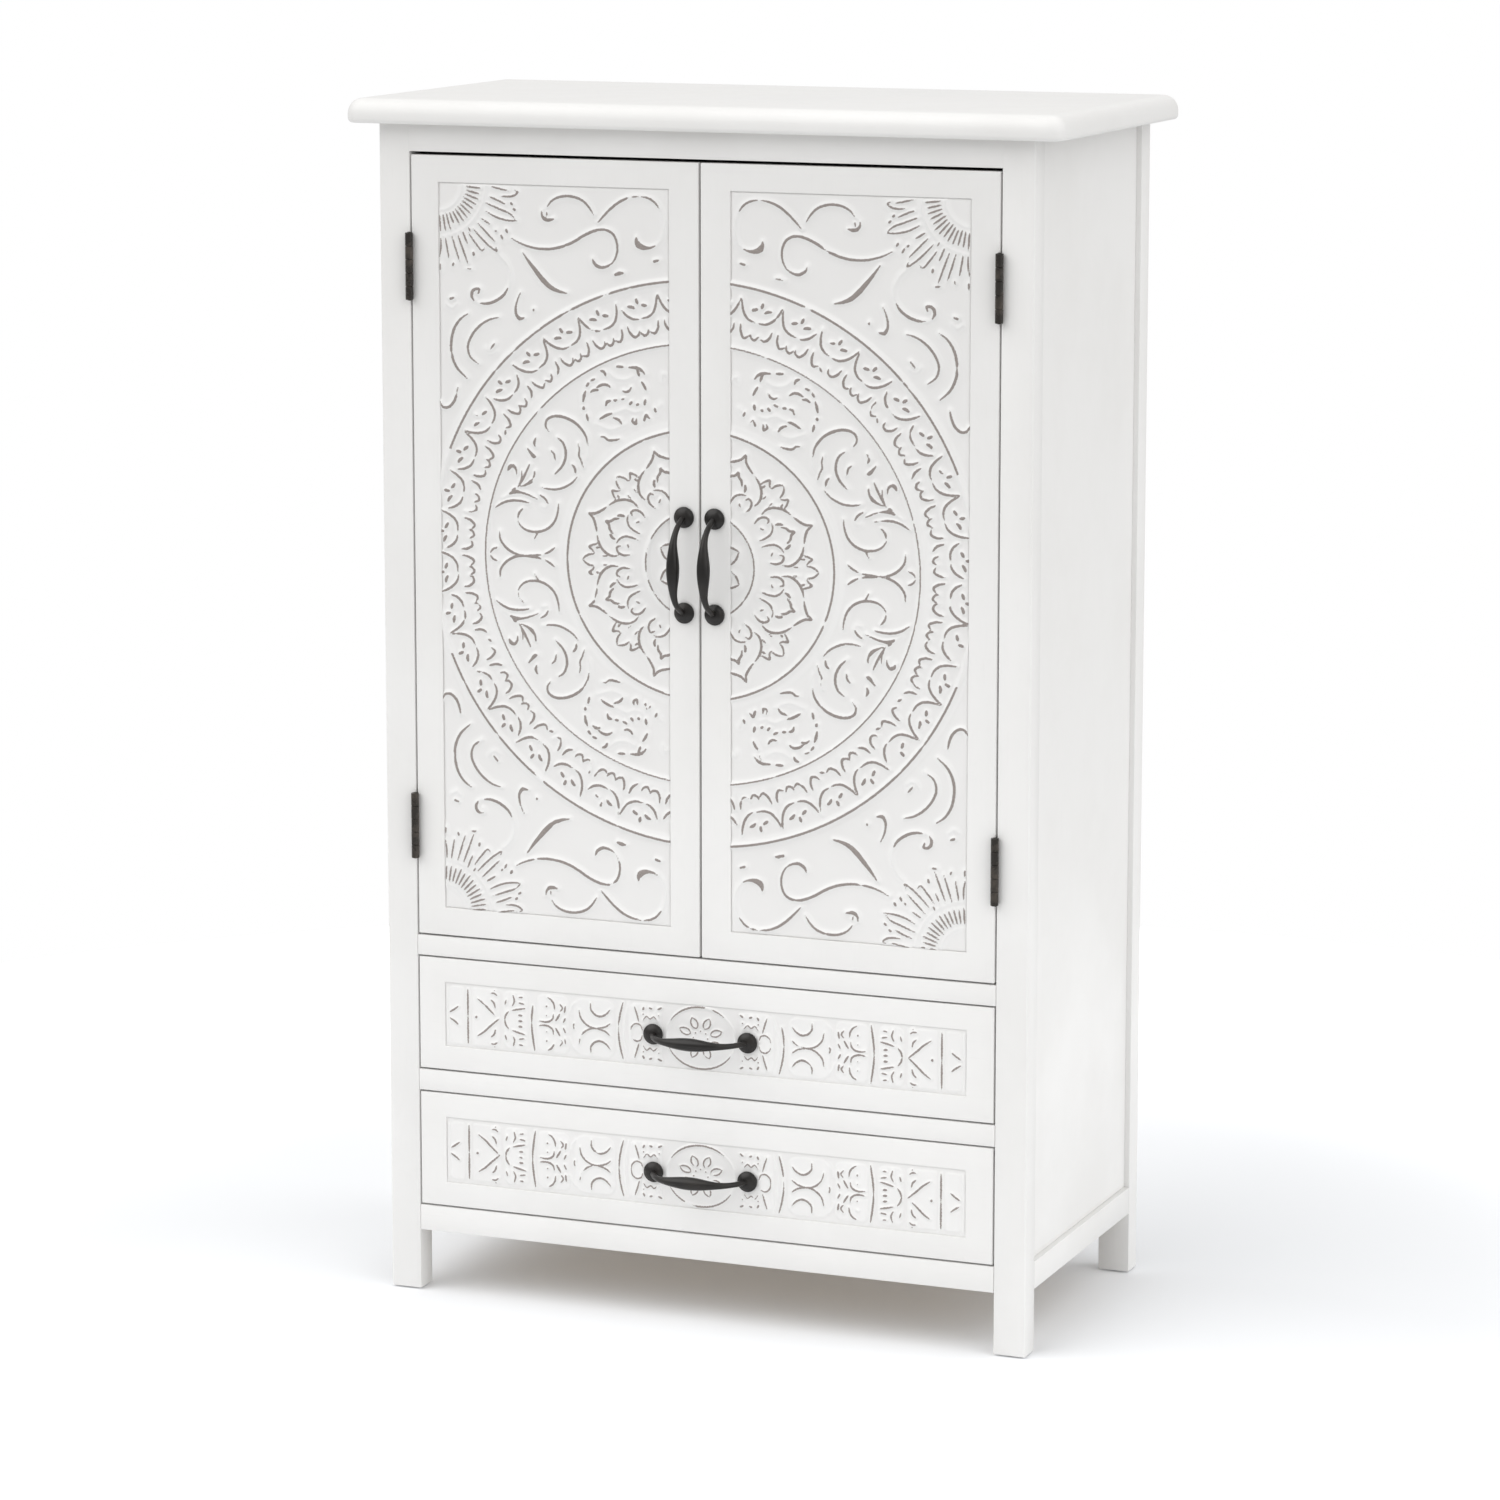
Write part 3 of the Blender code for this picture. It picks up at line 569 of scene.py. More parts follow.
def carve_board(name, carving, centre, face_y, back_y, rib_height, bank_height, edge_drop):
    """Cut a carving into a fine grid, then thicken the grid into a closed board."""
    take_up()
    size = (carving.high - carving.low) / 1000
    middle = (carving.high + carving.low) / 2000
    bpy.ops.mesh.primitive_grid_add(
        x_subdivisions=int(carving.cells[0]), y_subdivisions=int(carving.cells[1]), size=1.0,
        location=(centre[0] + middle[0], face_y, centre[1] + middle[1]),
        rotation=(math.pi / 2, 0, 0))
    board = name_piece(name)
    board.scale = (size[0], size[1], 1.0)
    bpy.ops.object.transform_apply()

    def points_and_cells():
        """Every corner of the mesh, and the place in the carving's grid in front of it."""
        points = np.empty(len(board.data.vertices) * 3)
        board.data.vertices.foreach_get("co", points)
        points = points.reshape(-1, 3)
        share = (points[:, (0, 2)] - centre) * 1000 - carving.low
        share *= carving.cells / (carving.high - carving.low)
        cell = np.clip(np.round(share).astype(int), 0, carving.cells)
        return points, (cell[:, 1], cell[:, 0])

    points, cells = points_and_cells()
    rise = np.clip(carving.foot / carving.shoulder, 0.0, 1.0)
    relief = carving.ground + rib_height * (1 - (1 - rise) ** 2)
    relief += bank_height * soft_step(carving.swell, 0.0, 1.0)
    edge = np.minimum.reduce([carving.u - carving.low[0], carving.high[0] - carving.u,
                              carving.v - carving.low[1], carving.high[1] - carving.v])
    relief -= edge_drop * (1 - soft_step(edge, 0.0, 2.2))
    points[:, 1] = face_y - relief[cells] / 1000
    board.data.vertices.foreach_set("co", points.ravel())
    open_for_edit(board)
    bpy.ops.mesh.select_non_manifold()
    bpy.ops.mesh.extrude_edges_move(TRANSFORM_OT_translate={"value": (0, 0.001, 0)})
    bpy.ops.transform.resize(value=(1, 0, 1), center_override=(0, back_y, 0))
    bpy.ops.mesh.extrude_edges_move()
    bpy.ops.mesh.merge(type="CENTER")
    close_up()
    points, cells = points_and_cells()
    on_back = points[:, 1] > back_y - 0.00001
    crest = np.clip(carving.crest, -3, 3)
    for label, front, back in (("rubbed", crest, -3.0), ("raised", relief, 1.0)):
        attribute = board.data.attributes.new(label, "FLOAT", "POINT")
        attribute.data.foreach_set("value", np.where(on_back, back, front[cells]))
    return board


def attribute_of(tree, label):
    """What the carving wrote on the board under this label."""
    node = node_of(tree, "ShaderNodeAttribute")
    node.attribute_name = label
    return node.outputs["Fac"]


def sum_of(tree, first, second):
    """Two values added."""
    node = node_of(tree, "ShaderNodeMath")
    tree.links.new(first, node.inputs[0])
    tree.links.new(second, node.inputs[1])
    return node.outputs["Value"]


def carved_white(name):
    """Satin white over the relief, rubbed through to brown undercoat on the crests."""
    material, tree, shader, place = new_material(name)
    cloud = noise(tree, place, 6.0, 4.0, 0.6)
    ragged = noise(tree, place, 620.0, 3.0, 0.6)
    missed = noise(tree, place, 46.0, 2.0, 0.5)
    speck = noise(tree, place, 800.0, 3.0, 0.5)
    coat = mottle(tree, cloud, 0.35, 0.7, (0.765, 0.758, 0.747), (0.742, 0.735, 0.723))
    # Painted shade: the coat turns greyer where the relief lies low between the ribs, standing in for
    # the shade that falls in those recesses.
    painted_shade_low_ground = remap(tree, attribute_of(tree, "raised"), 0.0, 0.5, 0.35, 0.0)
    coat = blend_colours(tree, painted_shade_low_ground, coat, (0.70, 0.688, 0.675))
    jagged = sum_of(tree, remap(tree, ragged, 0.25, 0.75, -0.22, 0.22),
                    attribute_of(tree, "rubbed"))
    broken = sum_of(tree, jagged, remap(tree, missed, 0.60, 0.74, 0.0, -1.2))
    bare = remap(tree, broken, -0.10, 0.32, 0.0, 1.0)
    brown = mottle(tree, ragged, 0.3, 0.7, (0.30, 0.268, 0.25), (0.23, 0.20, 0.185))
    set_inputs(tree, shader, Base_Color=blend_colours(tree, bare, coat, brown),
               Roughness=remap(tree, bare, 0.0, 1.0, 0.44, 0.68), Specular_IOR_Level=0.4)
    bumps(tree, shader, (speck, 0.00005))
    return material


carved_paint = carved_white("carved_white_rubbed")


# ------------------------------------------------------------------ Carved drawer strips
# Each drawer front holds a carved strip: a round medallion in the middle, and on both
# sides flowers, a double bow, an hourglass, four pairs of commas, a bracket with a
# ladder of beads, and an arrowhead, all mirrored left to right and top to bottom.

ROUND_WIDE = 39.5
ROUND_TALL = 33.5
MISSED_START = 0.06
WHOLE_PETAL = 0.65
ALL_FLIPS = ((-1, -1), (-1, 1), (1, -1), (1, 1))


def mirrored(points, flip_u, flip_v):
    """The same points on the other side of either middle line."""
    return [(flip_u * p[0], flip_v * p[1], *p[2:]) for p in points]


def strip_carving(low, high, seed):
    """The relief of one drawer's strip, measured from its middle."""
    strip = Carving(low, high, cell=0.80, wear=0.30, shoulder=2.8, spread=4.0)
    chance = np.random.default_rng(seed)
    # Each rib is its half width and the points of its path, in one quarter of the strip
    ribs = [
        # outer bow
        (0.9, (89.5, 31), (92.5, 20), (94.5, 8), (95, 0)),
        # flower stem
        (0.8, (71, 12), (73, 19), (76, 28)),
        # flower heart
        (0.7, (67, 3), (69, 8), (74, 9.5), (79, 6), (80.5, 0)),
        (0.6, (50, 15), (54, 18.5), (58, 16), (62, 18.5), (66, 14)),
        (0.9, (45, 29), (49, 27)),
        (0.9, (56, 27), (59, 28)),
        (1.0, (65, 28), (66.5, 25)),
        # hourglass cup
        (1.0, (104.5, 21.5), (109, 16.5), (116, 13.5), (122.5, 15.5), (126.5, 20), (127, 27)),
        (0.8, (104.5, 6.5), (110, 2.6), (116, 0.8), (120, 0.3)),
        (0.9, (118, 0.3), (126, 0.6), (133, 4), (138.5, 10), (140.5, 18)),
        (0.8, (146.5, 3), (147.5, 0)),
        # small commas
        (0.8, (156.5, 8), (159, 3)),
        (1.0, (156.5, 21), (157.5, 14)),
        (1.0, (163, 12), (166, 7), (168, 4)),
        (0.8, (163, 23), (160, 18.5), (162.5, 15)),
        # large commas
        (0.9, (169, 16.5), (170, 22), (173, 26.5), (177, 29)),
        (0.95, (170.5, 11), (171.5, 6), (175.5, 2.8), (181, 1.8), (187, 2.6)),
        # upright bow
        (1.0, (193, 31), (195, 18), (196.3, 6), (196.5, 0)),
        # bracket
        (0.9, (204, 14.5), (212, 12.8), (219, 11)),
        (0.9, (223.5, 9.5), (227, 4.5), (228, 0)),
        (0.8, (218, 28), (216.5, 21), (219, 16)),
        (0.7, (226, 22), (227.5, 17)),
        (0.8, (205, 19), (211, 20)),
        (0.7, (207, 26.5), (211, 26)),
        # arrowhead
        (0.8, (237, 26), (240, 28), (244, 28)),
        (0.9, (239, 12), (240.5, 17), (244, 20.5)),
        (0.95, (235, 0), (240, 4.2), (246, 9.5), (252, 15), (260, 20.5)),
        # end bar
        (0.95, (271.8, 30), (271.8, 0)),
        # end chevron
        (0.9, (283, 10), (288, 6.2), (293, 3.2)),
    ]
    # The inner bow, and two lines that are cut but not rubbed
    faint_lines = [
        (0.5, (83, 31), (86, 18), (88, 6), (88.3, 0)),
        (0.4, (146, 26), (150, 20), (152, 14)),
        (0.3, (296.5, 29), (297, 0)),
    ]
    for widest, *points in ribs:
        for flips in ALL_FLIPS:
            path = mirrored(points, *flips)
            if chance.random() < MISSED_START and len(path) > 3:
                path = path[1:]
            strip.rib(path, widest, 1.7)
    for widest, *points in faint_lines:
        for flips in ALL_FLIPS:
            strip.rib(mirrored(points, *flips), widest, 1.7, False)
    for u, v, radius in ((178.5, 19, 0.9), (178.5, 9, 0.6), (261.5, 0, 1.3), (240, 31, 0.5),
                         (66, 20.5, 0.7), (48, 20.5, 0.6)):
        for flip_u, flip_v in ALL_FLIPS:
            strip.dot(flip_u * u, flip_v * v, radius, 1.6)
    for flip_u in (-1, 1):
        for v in (-6.2, 0.0, 6.2):
            strip.rib([(flip_u * 207.5, v), (flip_u * 211.5, v + 0.3)], 1.1, 1.4)
    angles = np.radians(np.arange(0, 361, 6))
    oval = [(ROUND_WIDE * math.cos(a), ROUND_TALL * math.sin(a)) for a in angles]
    for first, last in ((8, 26), (34, 56), (60, 61)):
        strip.rib(oval[first:last], 0.85, 1.8)
    strip.rib(oval, 0.5, 1.8, False)
    for petal in range(8):
        turn = math.radians(22.5 + 45 * petal)
        along = np.array([math.cos(turn) * 1.12, math.sin(turn)])
        aside = np.array([-math.sin(turn) * 1.12, math.cos(turn)])
        outline = [(11, 0), (13, 2.3), (17, 3.4), (20.5, 2.4), (23.5, 0)]
        for flip in (-1, 1):
            path = [tuple(along * r + aside * s * flip) for r, s in outline]
            strip.rib(path if chance.random() < WHOLE_PETAL else path[1:], 0.7, 1.4)
    for petal in range(8):
        turn = math.radians(45 * petal)
        strip.dot(8.2 * math.cos(turn), 7.6 * math.sin(turn), 0.7, 1.4)
    reach = np.hypot(strip.u / ROUND_WIDE, strip.v / ROUND_TALL)
    strip.ground += 0.5 * (1 - soft_step(reach, 0.2, 1.0))
    # Each motif stands on its own low field with rounded corners
    for start, end, corner in ((44, 84, 9), (98.5, 148, 12), (152, 191.5, 9), (200, 231, 9),
                               (233, 268, 4), (274.5, 295, 6)):
        across = np.abs(np.abs(strip.u) - (start + end) / 2) - (end - start) / 2 + corner
        tall = np.abs(strip.v) - ROUND_TALL + corner
        outside = np.hypot(np.maximum(across, 0), np.maximum(tall, 0))
        inside = np.minimum(np.maximum(across, tall), 0)
        strip.ground += 0.75 * soft_step(corner - outside - inside, 0.0, 3.2)
    return strip


for drawer, seed in (("upper", 11), ("lower", 12)):
    low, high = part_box(f"{drawer}_drawer_carved_strip")
    centre = ((low.x + high.x) / 2, (low.z + high.z) / 2)
    half = ((high.x - low.x) * 500, (high.z - low.z) * 500)
    relief = strip_carving((-half[0], -half[1]), half, seed)
    strip = carve_board(f"{drawer}_drawer_carving", relief, centre, low.y, high.y,
                        rib_height=0.85, bank_height=0.40, edge_drop=0.4)
    hand_over(strip, carved_paint, f"{drawer}_drawer", "white_paint",
              f"{drawer}_drawer_carved_strip", angle=75)


# ------------------------------------------------------------------ Drawer fronts
# A drawer front is one board with a shallow pocket routed in its face for the carved
# strip, leaving a flat border round it. Its arrises are eased.

POCKET_DEPTH = 0.0086
FRONT_EASE = 0.0009
FIT = Vector((0.00008, 0, 0.00008))
SAME = 1e-5


def cut_across(piece, place, normal):
    """Score a piece right through along one plane."""
    open_for_edit(piece)
    bpy.ops.mesh.select_all(action="SELECT")
    bpy.ops.mesh.bisect(plane_co=place, plane_no=normal)
    bpy.ops.object.mode_set(mode="OBJECT")


def score_window(piece, low, high):
    """Score the four lines of a window in a board's face."""
    for x in (low.x, high.x):
        cut_across(piece, (x, 0, 0), (1, 0, 0))
    for z in (low.z, high.z):
        cut_across(piece, (0, 0, z), (0, 0, 1))


def select_window(piece, low, high, front_only):
    """Select the faces of a scored window, in front or on both sides, ready for a cut."""
    shape = open_for_edit(piece, "FACE")
    for face in shape.faces:
        middle = face.calc_center_median()
        inside = low.x < middle.x < high.x and low.z < middle.z < high.z
        facing = -face.normal.y if front_only else abs(face.normal.y)
        face.select_set(inside and facing > 0.9)
    bmesh.update_edit_mesh(piece.data)


def both_on(a, b, axis, low, high):
    """True where both points lie on one of two limits along an axis."""
    limits = (getattr(low, axis), getattr(high, axis))
    return all(min(abs(getattr(p, axis) - limit) for limit in limits) < SAME for p in (a, b))


for drawer in ("upper", "lower"):
    low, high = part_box(f"{drawer}_drawer_front")
    strip_low, strip_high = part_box(f"{drawer}_drawer_carved_strip")
    front = rough_block(f"{drawer}_drawer_front_board", low, high)
    score_window(front, strip_low - FIT, strip_high + FIT)
    select_window(front, strip_low, strip_high, front_only=True)
    bpy.ops.mesh.extrude_region_move(TRANSFORM_OT_translate={"value": (0, POCKET_DEPTH, 0)})
    bpy.ops.object.mode_set(mode="OBJECT")

    def front_arris(a, b):
        """True for the outer arrises and for the pocket's mouth."""
        within = all(strip_low.x - 0.001 < p.x < strip_high.x + 0.001
                     and strip_low.z - 0.001 < p.z < strip_high.z + 0.001 for p in (a, b))
        at_face = max(a.y, b.y) < low.y + SAME
        return at_face and (within or both_on(a, b, "x", low, high)
                            or both_on(a, b, "z", low, high))

    round_edges(front, FRONT_EASE, 3, front_arris)
    hand_over(front, paint_across, f"{drawer}_drawer", "white_paint", f"{drawer}_drawer_front")


# ------------------------------------------------------------------ Carved door panels
# Two boards carved with one design: a great round medallion crosses both doors, with
# scallops, scrolls and a lotus in rings about its centre, and scrolls, crescents and a
# quarter sun fill the corners. Everything mirrors left to right and top to bottom.

MEDALLION_HEIGHT = 0.8175
OVAL = 1.057
OUTER_OVAL = 1.032
RING_OUTER = 298.0
RING_MIDDLE = 232.3
RING_INNER = 142.5
RING_HEART = 58.0

# Each rib is its half width and the points of its path in one quarter of the design;
# where the first number is 0, every point brings its own half width as a third number.

corner_scrolls = [
    # The large curl beside the meeting stile, ending in a filled comma
    (1.15, (114, 355), (106, 363.5), (98, 371), (88, 378), (78, 382), (68, 383.5)),
    (0.95, (65, 383.5), (57, 382), (50, 378), (44.5, 371.5)),
    (0, (49, 333, 0.4), (54, 331, 0.9), (59, 330.3, 1.5), (64, 331, 2.5), (68.5, 333.5, 3.0),
     (70.5, 337, 1.8), (70.5, 341, 0.5)),
    # The smaller curl above it, ending in a blunt leaf
    (1.15, (119, 363), (124, 370.5), (131, 377), (140, 380.5), (150, 381.5), (160, 379.5), (167, 375.5),
     (172, 369.5)),
    (0, (178, 365, 0.4), (177.5, 360, 1.1), (174, 356.5, 1.7), (169.5, 356, 1.5), (164.5, 357, 0.5)),
    (0.7, (172, 364.5), (172.5, 360)),
    # The long stem that rises out of the sun and curls under
    (1.25, (213, 335.5), (205, 331.5), (195, 328), (184, 325.8), (172, 325.5), (160, 327.2),
     (150, 330.3), (140, 335), (130, 341), (120, 345.5), (111, 347.8), (103, 347), (97, 343.5),
     (93.3, 337), (92, 328), (93.7, 320), (98, 313.2), (104, 309.3)),
    (0, (101, 311, 0.8), (106, 308.9, 1.1), (111, 308.4, 1.4), (116, 310.5, 1.6), (119, 313.5, 1.2),
     (120, 317, 0.5)),
    # A thick leaf below the stem, a seed and a bud beside it
    (0, (150, 280, 0.5), (158, 281.5, 1.3), (168, 285.5, 2.2), (177, 293, 2.5), (185, 302, 2.1),
     (193, 311.5, 1.3), (200, 321, 0.4)),
    (0, (85, 303.3, 0.5), (90, 302.8, 1.9), (94.5, 301.3, 1.1)),
    (0, (46, 317.8, 0.9), (50.5, 316.6, 1.2)),
    # The hooked curl under the sun
    (1.35, (217.5, 283), (221, 277), (227, 271.8), (235, 267.6), (243, 265.7), (250, 266)),
    (0, (257, 268.5, 0.5), (259.3, 273, 1.4), (258.5, 278, 1.5), (255, 280.8, 1.3), (250.5, 280.6, 1.1),
     (251.8, 276, 0.6)),
    (0, (203, 278.5, 0.4), (206.5, 271, 0.7), (208.5, 263, 1.0), (208, 256, 1.3), (204.5, 251.5, 1.8),
     (199, 252, 0.6)),
    (1.0, (188, 262), (188, 260)),
    (0, (280.5, 270.6, 0.8), (284, 269.4, 1.1)),
    # Two crescents and a bud in the bay beside the medallion
    (1.35, (264.5, 254), (273, 248), (280, 238), (283.5, 225), (283.3, 211), (277.5, 197),
     (265.5, 185.5)),
    (1.15, (228.5, 251.7), (240, 248.5), (252, 240.5), (260.5, 230), (264.3, 219), (262, 209.5),
     (252, 201.3)),
    (0.9, (233, 224), (236, 220.5), (238.5, 217.5)),
    (1.3, (276.5, 175.5), (278.3, 167), (282.5, 158.5), (289, 153.8), (294.5, 154.5), (298, 160)),
]

acanthus = [
    # The tall upper scroll
    (1.35, (171.5, 133.5), (175, 139), (174, 145), (168, 149.3), (160, 150.3), (150, 148.3),
     (140, 143.3), (133, 136.7), (128.3, 129), (126.7, 121)),
    (0.8, (137.8, 122), (136.5, 116), (137, 110), (134.3, 104), (132, 97)),
    (1.2, (145, 99.7), (142, 96.5), (141, 91)),
    (1.0, (139, 86.8), (145, 80.6), (153, 75.8), (161, 73), (170, 72.3), (180, 73.8)),
    (1.25, (162, 127.6), (156, 123.2), (152.6, 116), (152.3, 107), (156, 98), (165, 88.5)),
    (0.9, (169.5, 113.7), (166, 110.5), (164.3, 103.5)),
    (0, (186.5, 126, 0.6), (188.3, 121, 1.5), (187.3, 117, 0.5)),
    (0, (196.3, 114.3, 0.6), (192.5, 110, 1.3), (189, 106.5, 1.9), (186.8, 105.8, 0.6)),
    # The spray of narrow leaves and the small curl behind it
    (0, (188, 90.5, 0.7), (189, 84.5, 1.0), (192.3, 79.8, 1.8), (198, 76, 1.0), (205, 73.4, 0.4)),
    (1.1, (194, 97.7), (197.5, 90), (202, 81.5), (207.5, 73)),
    (0.7, (203, 90.5), (203.3, 83), (206, 76.5)),
    (0, (209, 86.5, 0.4), (209.8, 92, 1.1), (213, 95.3, 1.4), (216.8, 94, 1.9), (218.8, 90.8, 0.9)),
    (0, (185, 61, 0.4), (195, 65, 0.8), (205, 67.5, 1.0), (211.5, 67.8, 2.1), (217, 65.5, 0.9)),
    (1.2, (210.5, 71.3), (214, 69)),
    # The lower scroll and its inner curl
    (1.0, (182.5, 66), (176.5, 62.2), (173, 57)),
    (1.1, (195, 56.7), (205, 58.3), (215, 58.2), (224.5, 55.5), (234, 49.8)),
    (1.15, (160.5, 57.5), (161.8, 48), (165.5, 38.3), (172.5, 31), (181.5, 27), (190, 26.2), (199, 28),
     (205, 32.3), (208.3, 37.5)),
    (1.0, (202, 50.3), (206.3, 45.5), (208, 39.8)),
    (0, (185, 25.5, 0.9), (188.7, 18.8, 0.4)),
    # Half of the hourglass, and half of the clover outside it
    (1.0, (165.5, 10.3), (171, 6.2), (177, 3.2)),
    (1.0, (181, 2.1), (190, 0.8), (200, 0.3)),
    (1.15, (198, 0.3), (208, 0.9), (217, 4.3), (224, 9.8), (228.5, 16.8), (229, 24.5)),
    (0.9, (232, 7.2), (237, 5.2), (240.3, 1.2)),
]

faint_lines = [
    # Lines of the corners and the scrolls that are cut but not rubbed
    (0.3, (68, 383.5), (57, 382), (47, 375), (41, 364), (39.5, 352), (43, 339), (51, 331)),
    (0.3, (172, 369.5), (176.5, 366), (178, 362)),
    (0.4, (229, 318), (221, 311), (215.5, 301), (214.5, 291), (217.5, 283)),
    (0.3, (250, 266), (255, 267), (257, 269)),
    (0.3, (278, 264), (283, 259.5), (289, 263)),
    (0.3, (232, 216), (236, 213), (241, 214), (244, 218)),
    (0.3, (126.7, 121), (126.5, 114), (127.5, 107)),
    (0.3, (217, 65.5), (226, 60)),
    (0.3, (173, 57), (175, 52.5), (180, 53.5)),
]

swirl_rosette = [
    # A round knot of leaves between the scrolls of one door and the next
    (0, (61.5, 198.5, 0.5), (66, 203, 1.3), (71, 204.8, 1.6), (79.5, 205, 0.6)),
    (1.0, (70.5, 203.5), (68, 196.5)),
    (0.9, (85.5, 205.3), (94, 205.3)),
    (1.0, (106, 195), (108, 199), (112, 200.3)),
    (0.8, (118, 191.3), (123, 189.3)),
    (0.9, (125.3, 187), (128.3, 183)),
    (0, (129, 178, 0.6), (130.8, 173, 1.6), (131.8, 167.3, 0.8)),
    (1.2, (131, 161), (131.5, 159)),
    (0.9, (128, 154), (126.5, 147)),
    (0.8, (90.5, 129.3), (96, 128), (104, 127.8), (108, 130.5), (112, 130.7)),
    (0.9, (60, 181.5), (62.5, 186.5), (65.5, 190.7)),
    (1.1, (61, 172), (62, 166.5)),
    (0.9, (49, 159.5), (51, 163.5)),
    (0, (56.5, 152.5, 0.6), (60, 155.8, 1.4), (62.3, 150.5, 1.2)),
    (0.8, (71.3, 152), (72, 146), (76, 148.7), (74.5, 152.5)),
    (0.95, (100.5, 183.2), (105, 185.7), (111, 185.3), (116.5, 182)),
    (0, (115, 179.6, 0.9), (119.5, 179.6, 1.4), (123, 177.3, 0.7)),
    (0.8, (77, 184.3), (79, 180.8), (83, 179), (87, 180)),
    (0.8, (83, 173), (88, 170.7)),
    (0.9, (93, 170), (97, 169.5)),
    (0, (101, 169, 0.9), (104.3, 168, 1.5), (106, 164, 0.8)),
    (1.0, (76.3, 169.3), (79, 166)),
    (1.0, (69, 167), (71, 166)),
    (1.0, (98.5, 156), (104, 154.3), (109, 151.7), (113, 149.2)),
    (0.9, (88, 145), (91, 149), (98, 151.7)),
]

rosette_faint_lines = [
    (0.3, (75, 196), (84, 192), (95, 193), (104, 199)),
    (0.3, (84, 145), (100, 139), (118, 144)),
    (0.3, (66, 160), (74, 158), (84, 161), (92, 158), (98, 156)),
    (0.4, (37, 198), (41, 200), (42, 194)),
    (0.4, (44, 168), (46, 164)),
]

lotus_half_petal = [
    # One side of an ogee petal, as radius along its middle line and distance from it
    (1.2, (129.5, 0.4), (123, 2.6), (118, 8), (113.8, 14.5)),
    (1.2, (112.3, 17.5), (108.5, 23), (102.7, 28.2), (96, 31), (89.5, 31.2), (83.5, 28.5)),
    (1.2, (109.5, 0.6), (104.5, 2.2), (102, 6), (97, 8.6)),
    (1.3, (100, 11), (96, 13), (92.7, 13.4)),
    (0.95, (70, 3.4), (78, 4), (84, 5.8), (88.3, 10.5), (90, 16.5)),
    (1.05, (84.8, 17.3), (88, 20.3), (85.8, 24), (79, 25.3), (72, 21.8)),
    (0.8, (79, 12.5), (76, 15.5)),
]

between_petals = [
    # A small crown of leaves where two petals meet
    (1.0, (109.5, 17.5), (114.5, 16.2), (119, 13.5), (115.5, 10.5), (113.5, 7.5)),
    (0.95, (114, 6.2), (119, 5.6), (123, 3.4), (126, 0.4)),
    (1.0, (108.5, 13.5), (111.5, 13)),
    (0.6, (99.5, 4.5), (104.5, 4.8)),
]

heart_petal = [
    (1.0, (31.7, 9.9), (39.3, 6.5), (45.3, 0.4)),
    (0.7, (33, 4.5), (30, 3.2)),
]


def polar(angle, radius, aside=0.0):
    """A place in the medallion from its angle in degrees and its radius."""
    turn = math.radians(angle)
    u = radius * math.cos(turn) - aside * math.sin(turn)
    v = radius * math.sin(turn) + aside * math.cos(turn)
    return OVAL * u, v


def ring_line(panel, radius, half, shoulder, start=0.0, oval=OVAL):
    """Cut one ring of the medallion, rubbed from one angle up, faster than rib by rib."""
    reach = np.hypot(panel.u / oval, panel.v)
    steep = np.hypot(panel.u / oval**2, panel.v) / np.maximum(reach, 1.0)
    away = np.abs(reach - radius) / np.maximum(steep, 0.2)
    angle = np.degrees(np.arctan2(np.abs(panel.v), panel.u / oval))
    panel.foot = np.maximum(panel.foot, half + shoulder - away)
    panel.swell = np.maximum(panel.swell, 1 + (half - away) / panel.spread)
    worn = np.where(angle >= start, half + panel.wear - away, -6.0)
    panel.crest = np.maximum(panel.crest, worn)


def scallop(panel, start, chance):
    """One cup of the outer ring, its clover, and the lobes under it."""
    def cut_rib(points, widest, shoulder):
        panel.rib([polar(start + angle, radius) for angle, radius in points], widest, shoulder)

    skip = chance.random(5) < 0.3
    cut = 3.9 + chance.uniform(-0.5, 0.6)
    left = [(0.1, 286), (0.6, 277), (1.5, 269.5), (2.7, 265), (cut, 263.8)]
    right = [(cut + 0.7, 264), (6.2, 264.7), (7.4, 268), (8.3, 275), (8.85, 285)]
    cut_rib(left[1:] if skip[0] else left, 1.15, 2.3)
    cut_rib(right[:-1] if skip[1] else right, 1.15, 2.3)
    for points in ([(2.1, 279), (2.9, 277.8), (3.5, 275.8)], [(4.3, 285), (4.4, 279.8)],
                   [(5.2, 278), (6.3, 275.6)]):
        if chance.random() < 0.95:
            cut_rib(points, 1.5, 1.8)
    drop = chance.uniform(-0.8, 0.8)
    first = [(0.75, 259), (0.95, 252.5), (2.0, 246.8 + drop), (3.0, 248.5), (3.35, 252)]
    second = [(3.5, 250.5), (4.4, 245.8), (5.3, 248), (5.6, 252)]
    third = [(5.8, 249), (6.9, 246.2 - drop), (7.9, 251), (8.3, 259)]
    cut_rib(first[:-1] if skip[2] else first, 1.15, 1.9)
    cut_rib(second[1:3] if skip[3] else second, 1.05, 1.9)
    cut_rib(third[1:] if skip[4] else third, 1.15, 1.9)


